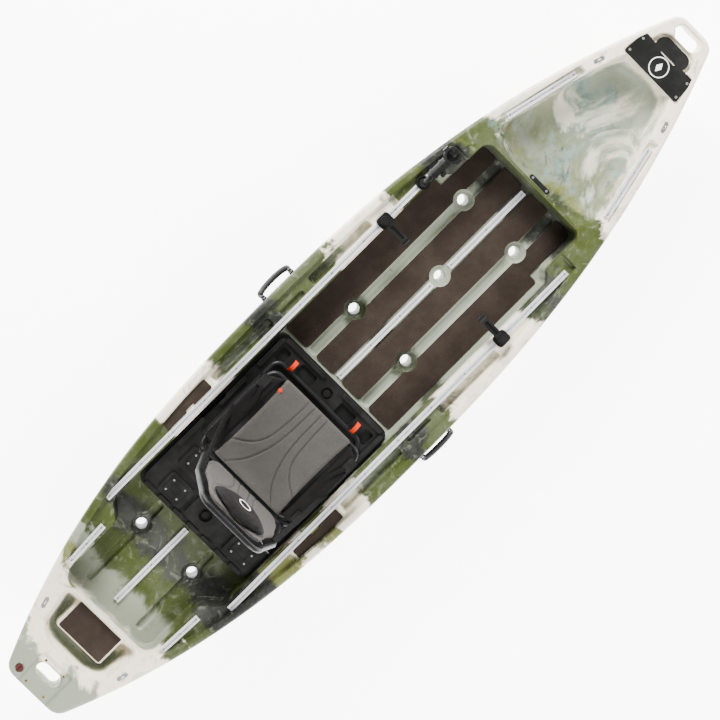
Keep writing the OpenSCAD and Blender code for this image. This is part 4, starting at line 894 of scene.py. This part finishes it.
def ribbon(name, path, width, thick, finish, across=Vector((0, 1, 0))):
    """A flat woven strap along a path; its width lies along across."""
    pts, faces = [], []
    n = len(path)
    shape = [(-.5, -.3), (-.46, -.5), (.46, -.5), (.5, -.3), (.5, .3), (.46, .5), (-.46, .5), (-.5, .3)]
    for i, p in enumerate(path):
        run = (path[min(i + 1, n - 1)] - path[max(i - 1, 0)]).normalized()
        side = (across - run * across.dot(run)).normalized()
        lift = run.cross(side).normalized()
        pts += [p + side * (width * a) + lift * (thick * b) for a, b in shape]
    for i in range(n - 1):
        for a in range(8):
            b = (a + 1) % 8
            faces.append((i * 8 + a, i * 8 + b, (i + 1) * 8 + b, (i + 1) * 8 + a))
    faces += [tuple(range(8))[::-1], tuple((n - 1) * 8 + a for a in range(8))]
    made = mesh_object(name, pts, faces, finish)
    smooth_by(made, 50)
    return made


# %% [markdown]
# ### The sling
# The sling is one cushion with four seams that run back from its front edge and fan out to the
# corners, so the middle is held down and the sides stand up a little round the thighs.

# %% Seat sling
SEAMS = [[(-0.262, 0.051), (-0.36, 0.054), (-0.464, 0.067), (-0.525, 0.102), (-0.572, 0.168)],
         [(-0.262, 0.019), (-0.38, 0.021), (-0.484, 0.033), (-0.585, 0.070), (-0.655, 0.128)]]
SEAMS += [[(x, -y) for x, y in line] for line in SEAMS]
outline = []
for t in np.linspace(0, 1, 15):
    outline.append((-0.664 + 0.410 * t, 0.1785 - 0.006 * math.sin(math.pi * t)))
outline += [(-0.2500, 0.168), (-0.2485, 0.10), (-0.2480, 0.0)]
outline += [(x, -y) for x, y in reversed(outline[:-1])]


def sling_low(x, y):
    return SLING_Z + 0.0012


def sling_high(x, y):
    dish = 0.0042 * (abs(y) / 0.18) ** 2
    return SLING_Z + 0.0105 + dish


points, faces = slab(outline, sling_low, sling_high)
sling = cushion("mesh_sling", points, faces, 0.004, 0.0045, 3.0)
finer = sling.modifiers.new("finer", "SUBSURF")
finer.levels = finer.render_levels = 1
settle(sling)
co = np.array([v.co for v in sling.data.vertices])
top_side = np.clip((co[:, 2] - SLING_Z - 0.006) / 0.004, 0, 1)
sag = -0.006 * np.exp(-((co[:, 0] + 0.50) / 0.16) ** 2) * (1 - (co[:, 1] / 0.18) ** 2)
for line in SEAMS:
    seam_line = [p[:2] for p in curve_points([(x, y, 0) for x, y in line], 30)]
    sunk, _ = press_line(co, seam_line, 0.0026, 0.0042)
    co[:, 2] -= sunk * top_side
co[:, 2] += np.maximum(sag, -0.004) * top_side
co[:, 2] = np.maximum(co[:, 2], SLING_Z + 0.0006)
sling.data.vertices.foreach_set("co", co.reshape(-1))
sling.data.materials.append(seat_mesh.material)
smooth_by(sling, 60)
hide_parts("seat_sling")
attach(sling, "seat")


# %% Threads that lie in the seams


def surface_tree(piece):
    """A tree of a mesh's faces that rays can be cast at."""
    mesh = piece.data
    return BVHTree.FromPolygons([v.co.copy() for v in mesh.vertices],
                                [tuple(p.vertices) for p in mesh.polygons])


def lay_on(tree, path, lift, drop=Vector((0, 0, -1)), height=0.3):
    """Drops a path on to a surface."""
    out = []
    for p in path:
        hit = tree.ray_cast(p - drop * height, drop)
        if hit[0] is not None:
            out.append(hit[0] - drop * lift)
    return out


tree = surface_tree(sling)
for number, line in enumerate(SEAMS):
    path = lay_on(tree, curve_points([(x, y, SLING_Z) for x, y in line], 44), 0.0003)
    seam = sweep(f"sling_seam_{number}", path, 0.0011, thread, 6)
    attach(seam, "seat")

# %% [markdown]
# ### Bolsters
# A dark padded wing lies on each side rail. It is pointed at the front and slopes away from the
# sling, with a bound edge.

# %% Bolsters
for side, name in ((1, "port"), (-1, "starboard")):
    ring = [(-0.264, 0.1830), (-0.272, 0.205), (-0.300, 0.243), (-0.335, 0.259),
            (-0.45, 0.2615), (-0.60, 0.261),
            (-0.640, 0.245), (-0.649, 0.215), (-0.648, 0.1830)]
    ring = [(p.x, p.y * side) for p in curve_points([(x, y, 0) for x, y in ring], 36)]
    if side < 0:
        ring = ring[::-1]
    crown = lambda x, y: SLING_Z + 0.0105 + 0.003 * math.cos((abs(y) - 0.215) / 0.05)
    points, faces = slab(ring, lambda x, y: SLING_Z + 0.001, crown)
    wing = cushion(f"side_bolster_{name}", points, faces, 0.0045, 0.0045, 4.0)
    co = np.array([v.co for v in wing.data.vertices])
    co[:, 2] = np.maximum(co[:, 2], SLING_Z + 0.0004)
    wing.data.vertices.foreach_set("co", co.reshape(-1))
    wing.data.materials.append(pad_cloth.material)
    smooth_by(wing, 60)
    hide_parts(f"seat_bolster_{name}")
    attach(wing, "seat")

# %% [markdown]
# ### The back
# The back is the same mesh, stretched over the leaning tube frame, with a big lens-shaped padded
# pocket near its top. Both are built lying flat, swelled, and then stood up on the hinge.

# %% Back panel and head pocket
def stand_up(obj):
    """Turns a piece built flat (x = out of the back, y, z = up along it) on to the leaning back."""
    co = np.array([v.co for v in obj.data.vertices])
    stood = np.array([tuple(on_back(*p)) for p in co])
    obj.data.vertices.foreach_set("co", stood.reshape(-1))
    obj.data.update()


PANEL_V = TUBE / 2 + 0.0003
half_ring = [(0.030, 0.150), (0.060, BACK_HALF - 0.030), (0.100, BACK_HALF - 0.019),
             (0.230, BACK_HALF - 0.018), (0.300, 0.158), (0.370, 0.143), (0.405, 0.128), (0.424, 0.100)]
ring = [(u, y) for u, y in half_ring] + [(0.428, 0.0)] + [(u, -y) for u, y in reversed(half_ring)]
n = len(ring)
points = [(PANEL_V + 0.002, y, u) for u, y in ring] + [(PANEL_V + 0.012, y, u) for u, y in ring]
faces = [tuple(range(n)), tuple(range(2 * n - 1, n - 1, -1))]
faces += [(i, n + i, n + (i + 1) % n, (i + 1) % n) for i in range(n)]
back = cushion("back_mesh", points, faces, 0.0035, 0.0045, 3.0)
finer = back.modifiers.new("finer", "SUBSURF")
finer.levels = finer.render_levels = 1
settle(back)
co = np.array([v.co for v in back.data.vertices])
BACK_SEAMS = [[(0.034, 0.062), (0.12, 0.052), (0.20, 0.075), (0.27, 0.130)],
              [(0.034, 0.026), (0.14, 0.024), (0.22, 0.020)]]
BACK_SEAMS += [[(u, -y) for u, y in line] for line in BACK_SEAMS]
front_side = np.clip((co[:, 0] - PANEL_V - 0.006) / 0.004, 0, 1)
for line in BACK_SEAMS:
    path = [(p.y, p.x) for p in curve_points([(u, y, 0) for u, y in line], 24)]
    sunk, _ = press_line(co[:, [1, 2]], path, 0.0024, 0.0042)
    co[:, 0] -= sunk * front_side
co[:, 0] = np.maximum(co[:, 0], PANEL_V + 0.0006)
back.data.vertices.foreach_set("co", co.reshape(-1))
tree = surface_tree(back)
INWARD = Vector((-1, 0, 0))
seam_paths = [lay_on(tree, curve_points([(PANEL_V, y, u) for u, y in line], 30), 0.0003, INWARD, 0.2)
              for line in BACK_SEAMS]
stand_up(back)
back.data.materials.append(seat_mesh.material)
smooth_by(back, 60)
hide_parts("back_panel")
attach(back, "backrest")
for number, path in enumerate(seam_paths):
    seam = sweep(f"back_seam_{number}", [on_back(*p) for p in path], 0.0011, thread, 6)
    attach(seam, "backrest")

POCKET_U, POCKET_W, POCKET_H, POCKET_T = BACK_LEN - 0.110, 0.135, 0.095, 0.040
POCKET_V = PANEL_V + 0.014 + 0.0003
POCKET_R = (POCKET_W ** 2 + POCKET_H ** 2) / (2 * POCKET_H)
sweep_angle = math.asin((POCKET_W - 0.004) / POCKET_R)
upper = [(POCKET_R * math.sin(a), POCKET_R * math.cos(a) - (POCKET_R - POCKET_H))
         for a in np.linspace(-sweep_angle, sweep_angle, 19)]
lens = [(y, POCKET_U + w - 0.003) for y, w in upper] + [(y, POCKET_U - w + 0.003) for y, w in reversed(upper)]
n = len(lens)
points = [(POCKET_V + 0.002, y, u) for y, u in lens] + [(POCKET_V + 0.016, y, u) for y, u in lens]
inner = [(y * 0.62, POCKET_U + (u - POCKET_U) * 0.62) for y, u in lens]
points += [(POCKET_V + POCKET_T - 0.006, y, u) for y, u in inner]
faces = [tuple(range(n))[::-1], tuple(range(2 * n, 3 * n))]
for base in (0, n):
    faces += [(base + i, base + (i + 1) % n, base + n + (i + 1) % n, base + n + i) for i in range(n)]
pocket = cushion("head_pocket_pad", points, faces, 0.005, 0.005, 4.0)
finer = pocket.modifiers.new("finer", "SUBSURF")
finer.levels = finer.render_levels = 1
settle(pocket)
co = np.array([v.co for v in pocket.data.vertices])
piping = [(y * 0.93, POCKET_U + (u - POCKET_U) * 0.93) for y, u in lens]
sunk, _ = press_line(co[:, [1, 2]], piping + piping[:1], 0.002, 0.0045)
co[:, 0] -= sunk * np.clip((co[:, 0] - POCKET_V - 0.008) / 0.006, 0, 1)
co[:, 0] = np.clip(co[:, 0], POCKET_V + 0.0004, POCKET_V + POCKET_T - 0.0005)
pocket.data.vertices.foreach_set("co", co.reshape(-1))
stand_up(pocket)
pocket.data.materials.append(pad_cloth.material)
smooth_by(pocket, 60)
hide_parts("head_pocket")
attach(pocket, "backrest")

# %% [markdown]
# ### Straps and pulls
# Webbing is stiff and flat, so it is modelled as ribbons along given curves, never simulated.
# The recline straps run from the front of the side rails up to the back frame.

# %% Recline straps
STRAP_TOP = SLING_Z + 0.014
for side, name in ((1, "port"), (-1, "starboard")):
    route = [(-0.300, 0.237, 0.0016), (-0.37, 0.238, 0.0032), (-0.46, 0.239, 0.0022),
             (-0.55, 0.238, 0.0034), (-0.640, 0.236, 0.0020)]
    lower = [Vector((x, y * side, STRAP_TOP + lift)) for x, y, lift in route]
    strap = ribbon(f"rail_strap_{name}", curve_points(lower, 40), 0.022, 0.0018, strap_black)
    if side > 0:
        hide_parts("recline_straps")
    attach(strap, "seat")

# %% Recline straps that cross the hinge
for side, name in ((1, "port"), (-1, "starboard")):
    start, end = Vector((-0.470, 0.252 * side, SLING_Z + 0.010)), on_back(0.012, 0.196 * side, 0.235)
    middle = (start + end) / 2 + Vector((0.020, 0.012 * side, -0.050))
    path = curve_points([start, start * 0.6 + middle * 0.4 + Vector((0, 0, -0.012)), middle,
                         end * 0.6 + middle * 0.4, end], 50)
    strap = ribbon(f"recline_strap_{name}", path, 0.022, 0.0018, strap_black, Vector((0.3, 0.9 * side, 0.2)))
    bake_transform(strap)

# %% [markdown]
# ### Carry handles
# A carry handle is a thick rubber grip on a bent strap that swings from two brackets. The swept
# tube swells along the middle, where the hand goes.

# %% Side handles
for side, name in ((1, "port"), (-1, "starboard")):
    keys = [(-0.075, 0.010), (-0.078, 0.030), (-0.045, 0.046), (0, 0.050),
            (0.045, 0.046), (0.078, 0.030), (0.075, 0.010)]
    out, drop = math.cos(math.radians(52)), math.sin(math.radians(52))
    lo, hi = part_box(f"side_handle_{name}")
    ends = (lo.x + 0.004, hi.x - 0.004)
    span = (ends[1] - ends[0]) / 2
    centre = (lo.x + hi.x) / 2
    path = curve_points([Vector((centre + x / 0.078 * (span - 0.006),
                                 (0.450 + r * out * 0.78) * side, 0.288 - r * drop))
                         for x, r in keys], 48)
    radius = [0.0065 + 0.0055 * min(1, max(0, (0.72 - abs(i / 24 - 1)) / 0.12)) for i in range(49)]
    handle = sweep(f"carry_grip_{name}", path, radius, grip, 16)
    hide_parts(f"side_handle_{name}")
    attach(handle, f"handle_{name}")

# %% [markdown]
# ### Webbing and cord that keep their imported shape
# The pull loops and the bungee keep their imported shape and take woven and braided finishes. The
# bungee's flecks are a spiral of pale threads.

# %% Bungee and the remaining woven nodes
bungee = Finish("flecked_bungee", Specular_IOR_Level=0.15)
spiral = ((bungee.x + bungee.y * 0.7 + bungee.z) * (2 * math.pi / 0.0085)).sin()
fleck = spiral.ramp(0.72, 0.9) * bungee.noise(420, 2.0).ramp(0.40, 0.55)
bungee.feed("Base Color", bungee.mix((0.006, 0.006, 0.006), (0.75, 0.75, 0.72), fleck))
bungee.feed("Roughness", bungee.noise(300, 2.0).ramp(0.3, 0.7, 0.6, 0.8))
bungee.bump((bungee.z * (2 * math.pi / 0.0016)).sin(), 0.0002, 0.5)
for node, finish in (("pull_straps", strap_orange), ("bungee_loop", bungee)):
    piece = cad[node]
    piece.data.materials.clear()
    piece.data.materials.append(finish.material)
    edge = piece.modifiers.new("rolled_edges", "BEVEL")
    edge.width, edge.segments, edge.limit_method = 0.0006, 2, "ANGLE"
    smooth_by(piece, 40)

# %% Strap tails
# the free end of each rail strap, doubled back over its bolster
for side, name in ((1, "port"), (-1, "starboard")):
    route = [(-0.330, 0.236, 0.0060), (-0.352, 0.228, 0.0105), (-0.392, 0.214, 0.0085),
             (-0.436, 0.207, 0.0052), (-0.470, 0.210, 0.0040)]
    tail = [Vector((x, y * side, STRAP_TOP + lift)) for x, y, lift in route]
    loose_end = ribbon(f"strap_tail_{name}", curve_points(tail, 30), 0.018, 0.0016, strap_black)
    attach(loose_end, "seat")
